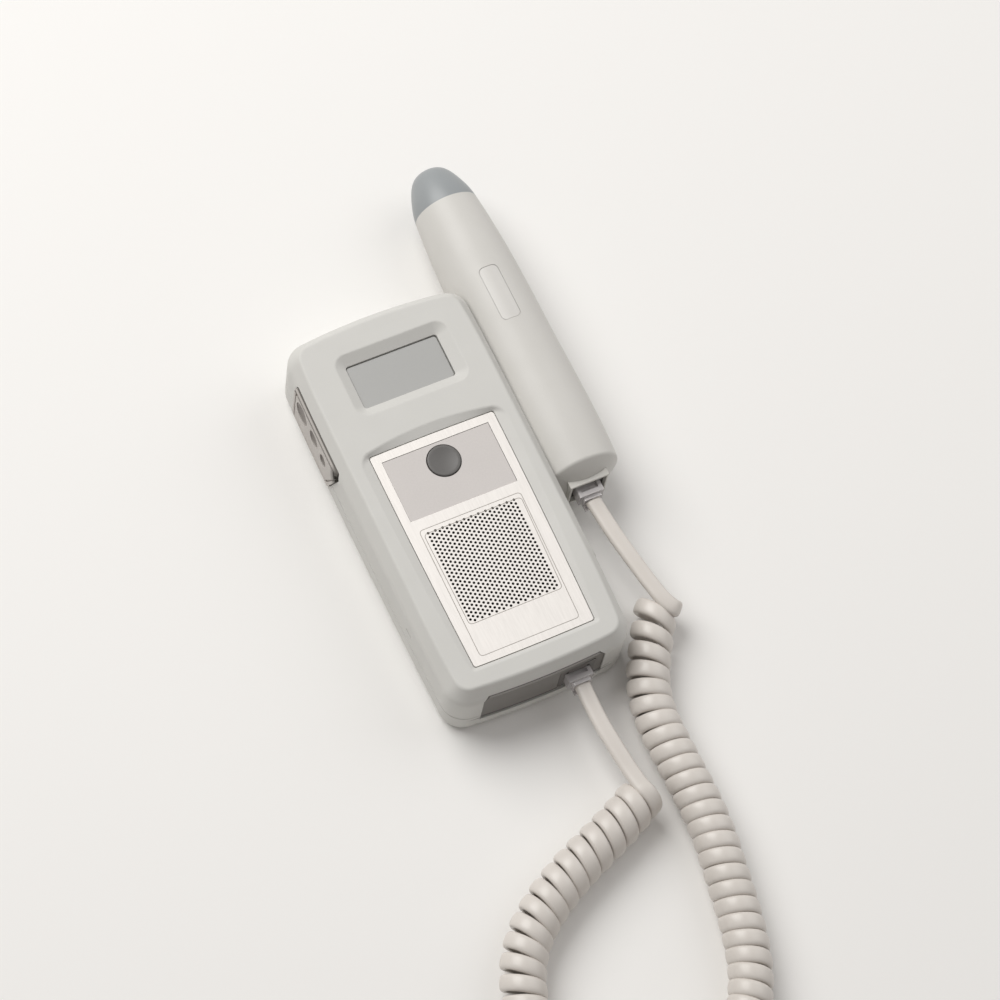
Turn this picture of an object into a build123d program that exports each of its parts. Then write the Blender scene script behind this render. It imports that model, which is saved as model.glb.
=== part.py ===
from build123d import *
import os
from math import pi, radians, tan

os.makedirs("parts", exist_ok=True)

# Handheld fetal doppler monitor with its probe docked in a trough along the right side and a curly cord
# between the two. Millimetres, Z up, resting on its back. The origin is the middle of the base of the
# unit and probe together. Places written as y are measured from the unit's bottom end, and places
# written as x from the unit's centre line, so the planes below carry them into the part's frame.

# Unit case
case_width = 72.0
case_length = 151.7
case_height = 31.0
case_end_width = 69.9
case_widest_y = 81.5
bottom_bow = 2.0
top_bow = 2.7
case_corner = 9.0
wall = 2.2
parting_z = 11.2
flare_run = 4.0
flare_drop = 5.6
flare_soften = 5.0
ridge_round = 1.4
rear_round = 4.0
seam_chamfer = 0.15
seam_gap = 0.3
seam_depth = 0.9
face_arc = 6500.0
face_crest_y = 120.0

# Probe and its trough
probe_offset = 47.0
probe_z = 15.8
probe_length = 132.8
probe_tail_y = 68.5
tail_radius = 14.7
belly_radius = 15.3
belly_y = 86.3
neck_radius = 14.4
neck_y = 153.5
cap_radius = 12.35
cap_length = 17.2
barrel_wall = 2.4
tail_round = 1.6
tail_dome_y = 62.9
tail_wall = 2.4
dock_clearance = 0.45
dock_end_y = 46.0

# Dock rail on the front case and its groove in the barrel
rail_y = 76.5
rail_length = 65.0
rail_stem_width = 2.5
rail_head_width = 5.0
rail_head_thickness = 1.3
rail_reach = 3.65
rail_clearance = 0.3
groove_backing = 1.3
backing_inset = 4.3

# Front face
face_x = 0.3
plate_top_z = 29.6
plate_thickness = 0.8
plate_y = 12.25
plate_length = 85.9
plate_top_width = 48.2
plate_bottom_width = 45.9
plate_bow = 0.3
plate_corner = 1.0
plate_gap = 0.35
recess_run = 4.4
recess_arch = 4.0
recess_corner = 6.0
recess_low_corner = 2.0
recess_round = 1.2
tray_thickness = 2.0

# Perforated field: close-packed holes in staggered columns
hole_pitch = 1.6
hole_diameter = 1.0
field_x = 0.1
field_y = 46.5
field_width = 36.0
field_length = 37.0
field_margin = 0.9
field_corner = 2.0
grille_pocket_depth = 0.6
foam_thickness = 0.5
foam_margin = 0.3

# Label panel and power button
panel_y = 82.65
panel_width = 41.5
panel_length = 24.7
panel_thickness = 0.6
panel_gap = 0.12
power_y = 87.4
power_diameter = 12.1
power_clearance = 0.3
power_proud = 0.3
power_travel = 0.8
power_flange = 1.1
power_flange_thickness = 0.7
power_dish = 0.5
power_round = 0.5
power_switch_size = 6.0
power_plunger_radius = 1.7
power_plunger_height = 0.6

# Display
window_x = 0.85
window_y = 125.5
window_width = 35.4
window_length = 17.3
window_corner = 1.2
window_top_z = 28.05
window_thickness = 1.2
window_gap = 0.2
window_shift = 0.14
window_ledge = 1.8
display_floor_z = 28.6
display_rim_width = 44.4
display_rim_length = 25.7
display_rim_x = 1.2
display_rim_y = 125.65
display_rim_corner = 5.0
display_thickness = 2.0
display_width = 42.0
display_length = 25.0
display_step = 4.0

# Boards
board_thickness = 1.6
board_top_z = 22.4
board_y = 68.5
board_length = 76.0
board_width = 44.0
board_x = -2.0
post_radius = 2.0
post_inset = 3.0
chip_place = (-14, 98)
chip_size = 10
small_chip_places = [(-14, 81), (12, 101)]
chip_height = 1.5
capacitor_places = [(-14, 77), (-8, 77), (-2, 77)]
capacitor_radius = 2.5
capacitor_height = 7.0
inductor_place = (10, 76)
inductor_height = 4.0

# Speaker
speaker_radius = 20.0
speaker_rim = 1.3
speaker_depth = 12.5
magnet_radius = 9.0
magnet_height = 4.5
gasket_thickness = 1.0
gasket_width = 2.8

# Side keypad on the left flank
keypad_proud = 0.8
keypad_low_y = 96.8
keypad_high_y = 134.8
keypad_low_z = 6.6
keypad_high_z = 26.1
keypad_slant = 6.2
keypad_corner = 1.0
keypad_cut_y = 1.5
keypad_cut_z = 2.6
keypad_inner_x = -33.4
keypad_gap = 0.3
keypad_rim = 1.2
keypad_groove = 0.7
keypad_scoop = 4.2
keypad_scoop_depth = 3.6
key_travel = 0.6
key_clearance = 0.25
key_flange = 0.8
key_flange_thickness = 0.7
key_dish = 0.7
key_places = [
    ("key_up", 127.3, 19.2, 8.6, 8.6),
    ("key_mid", 116.6, 19.6, 6.2, 6.6),
    ("key_down", 108.3, 18.0, 4.4, 5.4),
]
key_board_z = 19.0
key_board_height = 14.0
key_board_thickness = 1.2
key_board_gap = 3.6
key_flange_gap = 0.1
key_board_inset = 2.5
key_sink = 0.3
key_switch_size = 3.6
switch_gap = 0.1
switch_corner = 0.4

# Small blind slot low on the left flank
strap_slot_y = 36.5
strap_slot_z = 17.5
strap_slot_length = 4.2
strap_slot_width = 0.8

# End panel and modular jacks
end_panel_left = -23.5
end_panel_right = 22.8
end_panel_bottom_z = 8.9
end_panel_top_z = 25.6
end_panel_chamfer = 2.0
end_panel_inset = 0.4
end_panel_gap = 0.25
end_panel_flange = 1.2
end_lip_z = 7.6
end_step_inset = 1.6
jack_x = 12.6
jack_width = 14.0
jack_opening_top_z = 23.1
jack_height = 13.8
jack_top_z = 22.4
jack_side_gap = 0.5
jack_depth = 15.5
jack_setback = 0.9
jack_notch_x = 4.0
jack_notch_z = 4.5
jack_notch_width = 1.1
jack_notch_height = 1.4
jack_notch_depth = 2.0
jack_back = 1.5
plug_width = 9.65
plug_height = 6.6
plug_z = 14.6
plug_body_length = 13.5
plug_latch_width = 6.2
plug_latch_thickness = 1.1
plug_latch_tail = 2.7
plug_latch_root = 1.5
plug_round = 0.5
plug_collar_inset = 1.2
plug_collar_round = 1.0
plug_clearance = 0.2
plug_collar_length = 1.3
plug_rim = 1.7
crimp_length = 3.6
crimp_depth = 1.2
unit_plug_x = 13.0
unit_plug_y = -2.3
jack_board_y = 6.6
jack_board_width = 40.0
jack_board_length = 13.0

# Probe tail
tail_block_width = 15.2
tail_block_height = 13.2
tail_block_wall = 0.8
tail_block_y = 62.55
tail_block_round = 0.3
tail_jack_setback = 1.6
tail_gap = 0.1
tail_flange_y = 70.2
tail_flange_radius = 11.4
tail_flange_thickness = 1.6
probe_plug_x = 46.6
probe_plug_y = 59.2
probe_plug_z = 16.0

# Battery and its door
battery_width = 26.5
battery_height = 17.5
battery_length = 46.4
battery_inset = 62.7
battery_round = 1.5
stud_radius = 2.9
socket_radius = 3.9
snap_hole_radius = 4.1
terminal_height = 2.4
terminal_spacing = 12.95
snap_thickness = 3.0
bay_clearance = 0.3
bay_wall = 1.2
bay_roof = 0.9
door_thickness = 1.7
door_lift = 0.15
door_clearance = 0.1
door_margin = 3.4
door_tongue = 1.2
door_tongue_thickness = 0.7
door_pad = 2.4
door_length = 66.7
rib_inset = 14.0
rib_pitch = 2.0
rib_count = 5
rib_length = 16.0
rib_width = 0.8
rib_depth = 0.5

# Case screws
screw_left_x = -28.5
screw_right_x = 24.6
screw_low_y = 13.0
screw_top_inset = 11.7
screw_radius = 1.5
screw_length = 15.0
screw_head_radius = 2.7
screw_head_height = 1.8
screw_recess = 4.2
screw_clearance = 0.1
screw_cross_length = 3.0
screw_cross_width = 0.6
screw_cross_depth = 0.9
boss_radius = 3.2

# Probe label and probe insides
label_width = 7.2
label_length = 22.3
label_y = 140.2
label_x = -0.2
label_depth = 0.4
label_thickness = 0.3
label_gap = 0.15
label_corner = 2.0
label_seat = 0.02
tip_bore = 8.0
tip_spigot = 6.0
tip_front_wall = 5.8
spigot_wall = 1.9
crystal_radius = 7.0
crystal_thickness = 0.7
crystal_split = 1.0
holder_thickness = 5.0
probe_board_width = 16.0
probe_board_length = 74.0
probe_board_x = 1.5
probe_board_z = 12.8
probe_chip_size = 8.0

# Cord
lead_diameter = 5.0
coil_diameter = 15.7

# Worked out from the above
total_length = probe_tail_y + probe_length
left_reach = case_width / 2 + keypad_proud
right_reach = probe_offset + belly_radius
case_x = (left_reach - right_reach) / 2
base_y = -total_length / 2
plate_bottom_z = plate_top_z - plate_thickness
tray_bottom_z = plate_bottom_z - tray_thickness
window_seat_z = window_top_z - window_thickness
board_bottom_z = board_top_z - board_thickness
ceiling_z = case_height - wall
dock_radius = belly_radius + dock_clearance
screw_high_y = case_length - screw_top_inset
battery_y = case_length - battery_inset
door_y = case_length - door_length
cap_y = total_length - cap_length
bay_half_width = battery_width / 2 + bay_clearance
battery_z = door_lift + door_thickness + door_clearance + 0.1
bay_top_z = battery_z + battery_height + bay_clearance
snap_y = battery_y + battery_length + 0.2
bay_end_y = snap_y + snap_thickness + bay_clearance

# Worked out for the pieces below
screw_places = [
    (screw_left_x, screw_low_y),
    (screw_right_x, screw_low_y),
    (screw_left_x, screw_high_y),
    (screw_right_x, screw_high_y),
]
post_places = [
    (board_x + side * (board_width / 2 - post_inset), board_y + along)
    for side in (-1, 1)
    for along in (post_inset, board_length - post_inset)
]
column_pitch = hole_pitch * 3**0.5 / 2
columns = int(field_width / (2 * column_pitch)) + 1
rows = int(field_length / hole_pitch)
door_half = bay_half_width + door_margin
door_tongue_z = door_lift + door_thickness - door_tongue_thickness - 0.2
power_base_z = tray_bottom_z - 0.2 - power_flange_thickness
display_base_z = window_seat_z - tray_thickness - 0.1 - display_thickness
speaker_top_z = tray_bottom_z - gasket_thickness
key_inner_x = keypad_inner_x + key_flange_gap + key_flange_thickness
key_board_x = keypad_inner_x + key_board_gap
spigot_radius = cap_radius - spigot_wall
crystal_y = total_length - tip_front_wall - crystal_thickness
probe_jack_y = tail_block_y + tail_jack_setback
groove_floor_x = probe_offset - dock_radius + rail_reach + rail_clearance
barrel_backing_y = probe_tail_y + backing_inset

# The cord's routes in the part's frame
unit_lead_route = [
    (case_x + unit_plug_x, base_y + unit_plug_y - plug_collar_length, plug_z),
    (-0.2, -117.5, 14.4),
    (1.2, -130.5, 14.2),
    (3.0, -143.0, 13.6),
    (2.6, -149.6, 11.6),
    (-2.4, -151.0, 9.6),
]
coil_route = [
    (-0.9, -148.8, 7.9),
    (-11.7, -152.5, 7.9),
    (-27.7, -158.8, 7.9),
    (-42.2, -166.9, 7.9),
    (-55.5, -178.0, 7.9),
    (-63.3, -190.6, 7.9),
    (-66.9, -204.6, 7.9),
    (-69.7, -220.6, 7.9),
    (-67.7, -236.1, 7.9),
    (-58.7, -249.6, 7.9),
    (-44.2, -257.6, 7.9),
    (-27.2, -257.9, 7.9),
    (-11.9, -250.1, 7.9),
    (-0.5, -236.9, 7.9),
    (10.1, -220.6, 7.9),
    (15.1, -203.1, 7.9),
    (17.9, -185.6, 7.9),
    (21.1, -166.1, 7.9),
    (20.9, -143.6, 7.9),
    (20.3, -119.6, 7.9),
    (28.3, -101.4, 7.9),
    (38.0, -83.6, 7.9),
]
probe_lead_route = [
    (case_x + probe_plug_x, base_y + probe_plug_y - plug_collar_length, probe_plug_z),
    (35.2, -56.0, 15.8),
    (37.2, -68.0, 15.4),
    (39.4, -79.5, 14.6),
    (40.6, -86.0, 12.4),
    (38.4, -88.4, 10.2),
    (35.4, -87.4, 8.6),
]
cord_routes = [
    ("unit_lead", unit_lead_route, lead_diameter),
    ("coil_cord", coil_route, coil_diameter),
    ("probe_lead", probe_lead_route, lead_diameter),
]

case_plane = Plane(origin=(case_x, base_y, 0))
side_plane = Plane(origin=(case_x, base_y, 0), x_dir=(0, 1, 0), z_dir=(1, 0, 0))
end_plane = Plane(origin=(case_x, base_y, 0), x_dir=(1, 0, 0), z_dir=(0, -1, 0))
probe_plane = Plane(origin=(case_x + probe_offset, base_y, probe_z), x_dir=(0, 1, 0), z_dir=(0, 0, -1))
probe_end_plane = Plane(origin=(case_x + probe_offset, base_y, probe_z), x_dir=(1, 0, 0), z_dir=(0, -1, 0))
probe_axis = Axis((case_x + probe_offset, base_y, probe_z), (0, 1, 0))


# Height of the gently arched front face at a place along the unit
def face_z(y):
    return case_height - (y - face_crest_y) ** 2 / (2 * face_arc)


# Half the unit's width at a place along it, where its flanks bow out
def flank_x(y):
    share = (y - case_widest_y) / (case_widest_y - bottom_bow)
    return (case_width - (case_width - case_end_width) * share**2) / 2


# The unit's outline in plan, drawn inwards by inset
def case_outline(plane, inset):
    widest = case_width / 2 - inset
    low_half = flank_x(bottom_bow + inset) - inset
    high_half = flank_x(case_length - top_bow - inset) - inset
    low = inset + bottom_bow * (low_half / flank_x(bottom_bow)) ** 2
    high = case_length - inset - top_bow * (high_half / flank_x(case_length - top_bow)) ** 2
    with BuildSketch(plane) as outline:
        with BuildLine():
            ThreePointArc((-low_half, low), (0, inset), (low_half, low))
            ThreePointArc((low_half, low), (widest, case_widest_y), (high_half, high))
            ThreePointArc((high_half, high), (0, case_length - inset), (-high_half, high))
            ThreePointArc((-high_half, high), (-widest, case_widest_y), (-low_half, low))
        make_face()
        fillet(outline.vertices(), case_corner - inset)
    return outline.sketch


# The unit's outer form, or the form of its hollow when drawn inwards
def case_form(inset):
    with BuildPart() as form:
        add(case_outline(case_plane.offset(inset), inset))
        extrude(amount=case_height)
        with BuildSketch(side_plane):
            with BuildLine():
                start = (-5, face_z(-5) - inset)
                end = (case_length + 5, face_z(case_length + 5) - inset)
                middle = (face_crest_y, case_height - inset)
                ThreePointArc(start, middle, end)
                Polyline(end, (case_length + 5, inset), (-5, inset), start)
            make_face()
        extrude(amount=case_width, both=True, mode=Mode.INTERSECT)
        top_face = form.faces().sort_by(Axis.Z)[-1]
        chamfer(top_face.edges(), length=flare_run, length2=flare_drop, reference=top_face)
    return form.part


# The outer form with its flare softened into the flanks
def soft_form(inset):
    with BuildPart() as form:
        add(case_form(inset))
        flare_z = case_height - inset - flare_drop
        fillet(form.edges().filter_by_position(Axis.Z, flare_z - 2, flare_z + 0.3), flare_soften)
    return form.part


# The round form of the trough that the probe lies in, with a ball end
def dock_form(radius):
    with BuildPart() as form:
        with BuildSketch(probe_plane):
            with BuildLine():
                tip = (dock_end_y - radius, 0)
                shoulder = (dock_end_y, radius)
                CenterArc((dock_end_y, 0), radius, 90, 90)
                Polyline(shoulder, (case_length + 10, radius), (case_length + 10, 0), tip)
            make_face()
        revolve(axis=probe_axis)
    return form.part


# The faceplate's outline with slightly bowed edges
def plate_outline(plane, grow):
    top_half = plate_top_width / 2 + grow
    bottom_half = plate_bottom_width / 2 + grow
    low = plate_y - grow
    high = plate_y + plate_length + grow
    middle = (low + high) / 2
    middle_half = (top_half + bottom_half) / 2 + plate_bow
    with BuildSketch(plane) as outline:
        with BuildLine():
            low_left = (face_x - bottom_half, low)
            low_right = (face_x + bottom_half, low)
            high_left = (face_x - top_half, high)
            high_right = (face_x + top_half, high)
            ThreePointArc(low_left, (face_x, low - plate_bow), low_right)
            ThreePointArc(low_right, (face_x + middle_half, middle), high_right)
            ThreePointArc(high_right, (face_x, high + plate_bow), high_left)
            ThreePointArc(high_left, (face_x - middle_half, middle), low_left)
        make_face()
        fillet(outline.vertices(), plate_corner)
    return outline.sketch


# The side keypad's outline, slanted at its lower end, drawn outwards by grow
def keypad_outline(grow):
    low = keypad_low_z - grow
    high = keypad_high_z + grow
    start = keypad_low_y - grow
    end = keypad_high_y + grow
    with BuildSketch() as outline:
        with BuildLine():
            Polyline(
                (start + keypad_slant, low),
                (end, low),
                (end, high),
                (start + keypad_cut_y, high),
                (start, high - keypad_cut_z),
                close=True,
            )
        make_face()
        fillet(outline.vertices(), keypad_corner)
    return outline.sketch


# The T-shaped dock rail, or its groove when grown
def rail_form(start_y, length, grow):
    scoop_x = probe_offset - dock_radius
    head_x = scoop_x + rail_reach - rail_head_thickness - grow
    with BuildPart() as form:
        with BuildSketch(end_plane.offset(-start_y)):
            with Locations((scoop_x - 0.5, probe_z)):
                Rectangle(rail_reach, rail_stem_width + 2 * grow, align=(Align.MIN, Align.CENTER))
            with Locations((head_x, probe_z)):
                Rectangle(
                    rail_head_thickness + 2 * grow,
                    rail_head_width + 2 * grow,
                    align=(Align.MIN, Align.CENTER),
                )
        extrude(amount=-length)
    return form.part


# A modular plug that points along +Y, with a crimp recess on top, a collar at its tail and a finger latch
# underneath that reaches out behind it
def plug_form(x, y, z):
    with BuildPart() as form:
        with BuildSketch(end_plane.offset(-y)):
            with Locations((x, z)):
                RectangleRounded(plug_width, plug_height, plug_round)
        extrude(amount=-plug_body_length)
        with BuildSketch(end_plane.offset(-y)):
            with Locations((x, z)):
                RectangleRounded(
                    plug_width - 2 * plug_collar_inset, plug_height - 2 * plug_collar_inset, plug_collar_round
                )
        extrude(amount=plug_collar_length)
        latch_z = z - plug_height / 2 - plug_clearance - plug_latch_thickness / 2
        with BuildSketch(end_plane.offset(-y + plug_latch_tail)):
            with Locations((x, latch_z)):
                Rectangle(plug_latch_width, plug_latch_thickness)
        extrude(amount=-(plug_body_length + plug_latch_tail - 2))
        with BuildSketch(end_plane.offset(-y - plug_body_length + 3)):
            with Locations((x, z - plug_height / 2)):
                Rectangle(plug_latch_width, 2 * (plug_clearance + plug_latch_thickness))
        extrude(amount=-plug_latch_root)
        with BuildSketch(end_plane.offset(-y - plug_rim)):
            with Locations((x, z + plug_height / 2)):
                Rectangle(plug_width - 3, 2 * crimp_depth)
        extrude(amount=-crimp_length, mode=Mode.SUBTRACT)
    return form.part


# A jack body around the same plug, open at its front
def jack_form(x, front_y, low_z, high_z, width, plug_x, plug_centre_z, depth):
    with BuildPart() as form:
        with BuildSketch(end_plane.offset(-front_y)):
            with Locations((x, (low_z + high_z) / 2)):
                Rectangle(width, high_z - low_z)
        extrude(amount=-depth)
        with BuildSketch(end_plane.offset(-front_y)):
            with Locations((plug_x, plug_centre_z)):
                Rectangle(plug_width + 2 * plug_clearance, plug_height + 2 * plug_clearance)
            latch_room = 2 * plug_clearance + plug_latch_thickness
            with Locations((plug_x, plug_centre_z - plug_height / 2 - latch_room / 2)):
                Rectangle(plug_latch_width + 2 * plug_clearance, latch_room + 2 * plug_clearance)
        extrude(amount=-(depth - jack_back), mode=Mode.SUBTRACT)
        with BuildSketch(end_plane.offset(-front_y)):
            with Locations(
                (plug_x - jack_notch_x, plug_centre_z + jack_notch_z),
                (plug_x + jack_notch_x, plug_centre_z + jack_notch_z),
            ):
                Rectangle(jack_notch_width, jack_notch_height)
        extrude(amount=-jack_notch_depth, mode=Mode.SUBTRACT)
    return form.part


# Outer form of the probe's barrel, drawn inwards by inset
def barrel_form(inset, start_y, end_y):
    with BuildPart() as form:
        with BuildSketch(probe_plane):
            with BuildLine():
                tail = (probe_tail_y, tail_radius - inset)
                end = (cap_y, cap_radius - inset)
                Spline(
                    tail,
                    (belly_y, belly_radius - inset),
                    ((belly_y + neck_y) / 2, (belly_radius + neck_radius) / 2 - inset),
                    (neck_y, neck_radius - inset),
                    end,
                )
                Polyline(end, (cap_y, 0), (tail_dome_y, 0))
                dome_radius = tail_radius**2 / (2 * (probe_tail_y - tail_dome_y))
                ThreePointArc(
                    (tail_dome_y, 0),
                    (tail_dome_y + (tail_radius / 2) ** 2 / (2 * dome_radius), tail_radius / 2),
                    tail,
                )
            make_face()
        revolve(axis=probe_axis)
        if start_y > probe_tail_y:
            split(bisect_by=end_plane.offset(-start_y), keep=Keep.BOTTOM)
            split(bisect_by=end_plane.offset(-end_y), keep=Keep.TOP)
    return form.part


case_solid = case_form(0)
hollow_solid = case_form(wall)

# Halves of space above and below the parting line
with BuildPart() as upper_space:
    with BuildSketch(case_plane.offset(parting_z)):
        Rectangle(2 * case_width, 2 * case_length + 20)
    extrude(amount=case_height)
upper_half = upper_space.part
with BuildPart() as lower_space:
    with BuildSketch(case_plane.offset(parting_z)):
        Rectangle(2 * case_width, 2 * case_length + 20)
    extrude(amount=-case_height)
lower_half = lower_space.part

# The trough's wall, thickened inwards from the trough
dock_wall = dock_form(dock_radius + wall)


# The end panel's outline seen from the end, down to a given height and grown by a gap
def end_outline(low, grow):
    left = end_panel_left - grow
    right = end_panel_right + grow
    high = end_panel_top_z + grow
    with BuildSketch() as outline:
        with BuildLine():
            Polyline(
                (left, low),
                (right, low),
                (right, high - end_panel_chamfer),
                (right - end_panel_chamfer, high),
                (left + end_panel_chamfer, high),
                (left, high - end_panel_chamfer),
                close=True,
            )
        make_face()
    return outline.sketch


# A rounded prism over the label's place on the barrel
def label_prism(grow):
    with BuildPart() as form:
        with BuildSketch(case_plane.offset(probe_z)):
            with Locations((probe_offset + label_x, label_y)):
                RectangleRounded(label_width + 2 * grow, label_length + 2 * grow, label_corner)
        extrude(amount=2 * belly_radius)
    return form.part


# Openings in the shells: the keypad's pocket and the end panel's place
with BuildPart() as pocket:
    with BuildSketch(side_plane.offset(-case_width / 2 - 5)):
        add(keypad_outline(keypad_gap))
    extrude(amount=wall + 8)
keypad_pocket = pocket.part
with BuildPart() as opening:
    with BuildSketch(end_plane.offset(2)):
        add(end_outline(end_lip_z, end_panel_gap))
    extrude(amount=-(wall + 5))
end_opening = opening.part

# Outer form with the rounded back edge, which the battery door shares
with BuildPart() as rear_block:
    add(case_solid)
    fillet(rear_block.faces().sort_by(Axis.Z)[0].edges(), rear_round)
rear_form = rear_block.part

# Profiles between which the two recesses in the front face are lofted
with BuildSketch(case_plane.offset(plate_top_z)) as floor_sketch:
    add(plate_outline(Plane.XY, plate_gap))
recess_floor = floor_sketch.sketch
with BuildSketch(case_plane.offset(case_height + 0.1)) as rim_sketch:
    with BuildLine():
        low = plate_y - recess_run
        high = plate_y + plate_length + 0.5
        low_half = plate_bottom_width / 2 + recess_run
        high_half = plate_top_width / 2 + recess_run
        ThreePointArc((face_x - low_half, low), (face_x, low - 0.3), (face_x + low_half, low))
        ThreePointArc(
            (face_x + low_half, low), (face_x + high_half, (low + high) / 2), (face_x + high_half, high)
        )
        ThreePointArc((face_x + high_half, high), (face_x, high + recess_arch), (face_x - high_half, high))
        ThreePointArc(
            (face_x - high_half, high), (face_x - high_half, (low + high) / 2), (face_x - low_half, low)
        )
    make_face()
    fillet(rim_sketch.vertices().group_by(Axis.Y)[0], recess_low_corner)
    fillet(rim_sketch.vertices().group_by(Axis.Y)[-1], recess_corner)
recess_rim = rim_sketch.sketch
with BuildSketch(case_plane.offset(display_floor_z)) as floor_sketch:
    with Locations((window_x, window_y)):
        RectangleRounded(window_width + 2 * window_gap, window_length + 2 * window_gap, window_corner)
display_floor = floor_sketch.sketch
with BuildSketch(case_plane.offset(case_height + 0.1)) as rim_sketch:
    with Locations((display_rim_x, display_rim_y)):
        RectangleRounded(display_rim_width, display_rim_length, display_rim_corner)
display_rim = rim_sketch.sketch

# Front case: upper shell with the recesses, dock trough, rail, bosses and posts
with BuildPart() as front_case:
    add(case_solid)
    ridge_face = front_case.faces().sort_by(Axis.Z)[-1]
    fillet(ridge_face.edges(), ridge_round)
    flare_edges = front_case.edges().filter_by_position(
        Axis.Z, case_height - flare_drop - 2, case_height - flare_drop + 0.3
    )
    fillet(flare_edges, flare_soften)
    split(bisect_by=case_plane.offset(parting_z), keep=Keep.TOP)
    chamfer(front_case.faces().sort_by(Axis.Z)[0].edges(), seam_chamfer)
    add(hollow_solid, mode=Mode.SUBTRACT)
    # trays under the two recesses, which stay inside the outer form
    with BuildSketch(case_plane.offset(tray_bottom_z)):
        with Locations((face_x, plate_y + plate_length / 2)):
            Rectangle(plate_top_width + 2 * recess_run, plate_length + 2 * recess_arch - 2)
    extrude(amount=plate_bottom_z + 0.5 - tray_bottom_z)
    with BuildSketch(case_plane.offset(window_seat_z - tray_thickness)):
        with Locations((window_x, window_y)):
            Rectangle(display_rim_width - 2, display_rim_length - 2)
    extrude(amount=display_floor_z + 0.8 - window_seat_z + tray_thickness)
    # bosses over the screws and posts over the main board
    with BuildSketch(case_plane.offset(parting_z)):
        with Locations(*screw_places):
            Circle(boss_radius)
    extrude(amount=ceiling_z + 0.2 - parting_z)
    with BuildSketch(case_plane.offset(board_top_z)):
        with Locations(*post_places):
            Circle(post_radius)
    extrude(amount=ceiling_z + 0.2 - board_top_z)
    # the trough's wall inside the hollow, then the trough itself
    add(dock_wall & case_solid & upper_half)
    add(dock_form(dock_radius), mode=Mode.SUBTRACT)
    add(rail_form(rail_y, rail_length, 0))
    # faceplate recess
    loft([recess_floor, recess_rim], ruled=True, mode=Mode.SUBTRACT)
    add(plate_outline(case_plane.offset(plate_bottom_z), plate_gap))
    extrude(amount=plate_thickness + 0.5, mode=Mode.SUBTRACT)
    with BuildSketch(case_plane.offset(plate_bottom_z)):
        with Locations((field_x, field_y)):
            RectangleRounded(field_width + 2 * field_margin, field_length + 2 * field_margin, field_corner)
    extrude(amount=-grille_pocket_depth, mode=Mode.SUBTRACT)
    with BuildSketch(case_plane.offset(plate_bottom_z)):
        with Locations((field_x, field_y)):
            Circle(speaker_radius - gasket_width)
        with Locations((face_x, power_y)):
            Circle(power_diameter / 2 + power_clearance)
    extrude(amount=-4, mode=Mode.SUBTRACT)
    # display recess with the window's ledge and the opening over the readout
    loft([display_floor, display_rim], ruled=True, mode=Mode.SUBTRACT)
    with BuildSketch(case_plane.offset(window_seat_z)):
        with Locations((window_x, window_y)):
            RectangleRounded(window_width + 2 * window_gap, window_length + 2 * window_gap, window_corner)
    extrude(amount=display_floor_z - window_seat_z + 0.1, mode=Mode.SUBTRACT)
    with BuildSketch(case_plane.offset(window_seat_z)):
        with Locations((window_x, window_y)):
            Rectangle(window_width - 2 * window_ledge, window_length - 2 * window_ledge)
    extrude(amount=-4, mode=Mode.SUBTRACT)
    # the recesses' soft rims
    front_face = front_case.faces().sort_by(Axis.Z)[-1]
    fillet([edge for rim in front_face.inner_wires() for edge in rim.edges()], recess_round)
    # pilot holes for the screws
    with BuildSketch(case_plane.offset(parting_z)):
        with Locations(*screw_places):
            Circle(screw_radius + screw_clearance / 2)
    extrude(amount=screw_recess + screw_length + 1 - parting_z, mode=Mode.SUBTRACT)
    # keypad pocket, end panel opening and the strap slot on the left flank
    add(keypad_pocket, mode=Mode.SUBTRACT)
    add(end_opening, mode=Mode.SUBTRACT)
    with BuildSketch(side_plane.offset(-case_width / 2 - 1)):
        with Locations((strap_slot_y, strap_slot_z)):
            SlotOverall(strap_slot_length, strap_slot_width)
    extrude(amount=1 + wall / 2, mode=Mode.SUBTRACT)
front_case.part.label = "front_case"
export_step(front_case.part, "parts/front_case.step")

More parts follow.
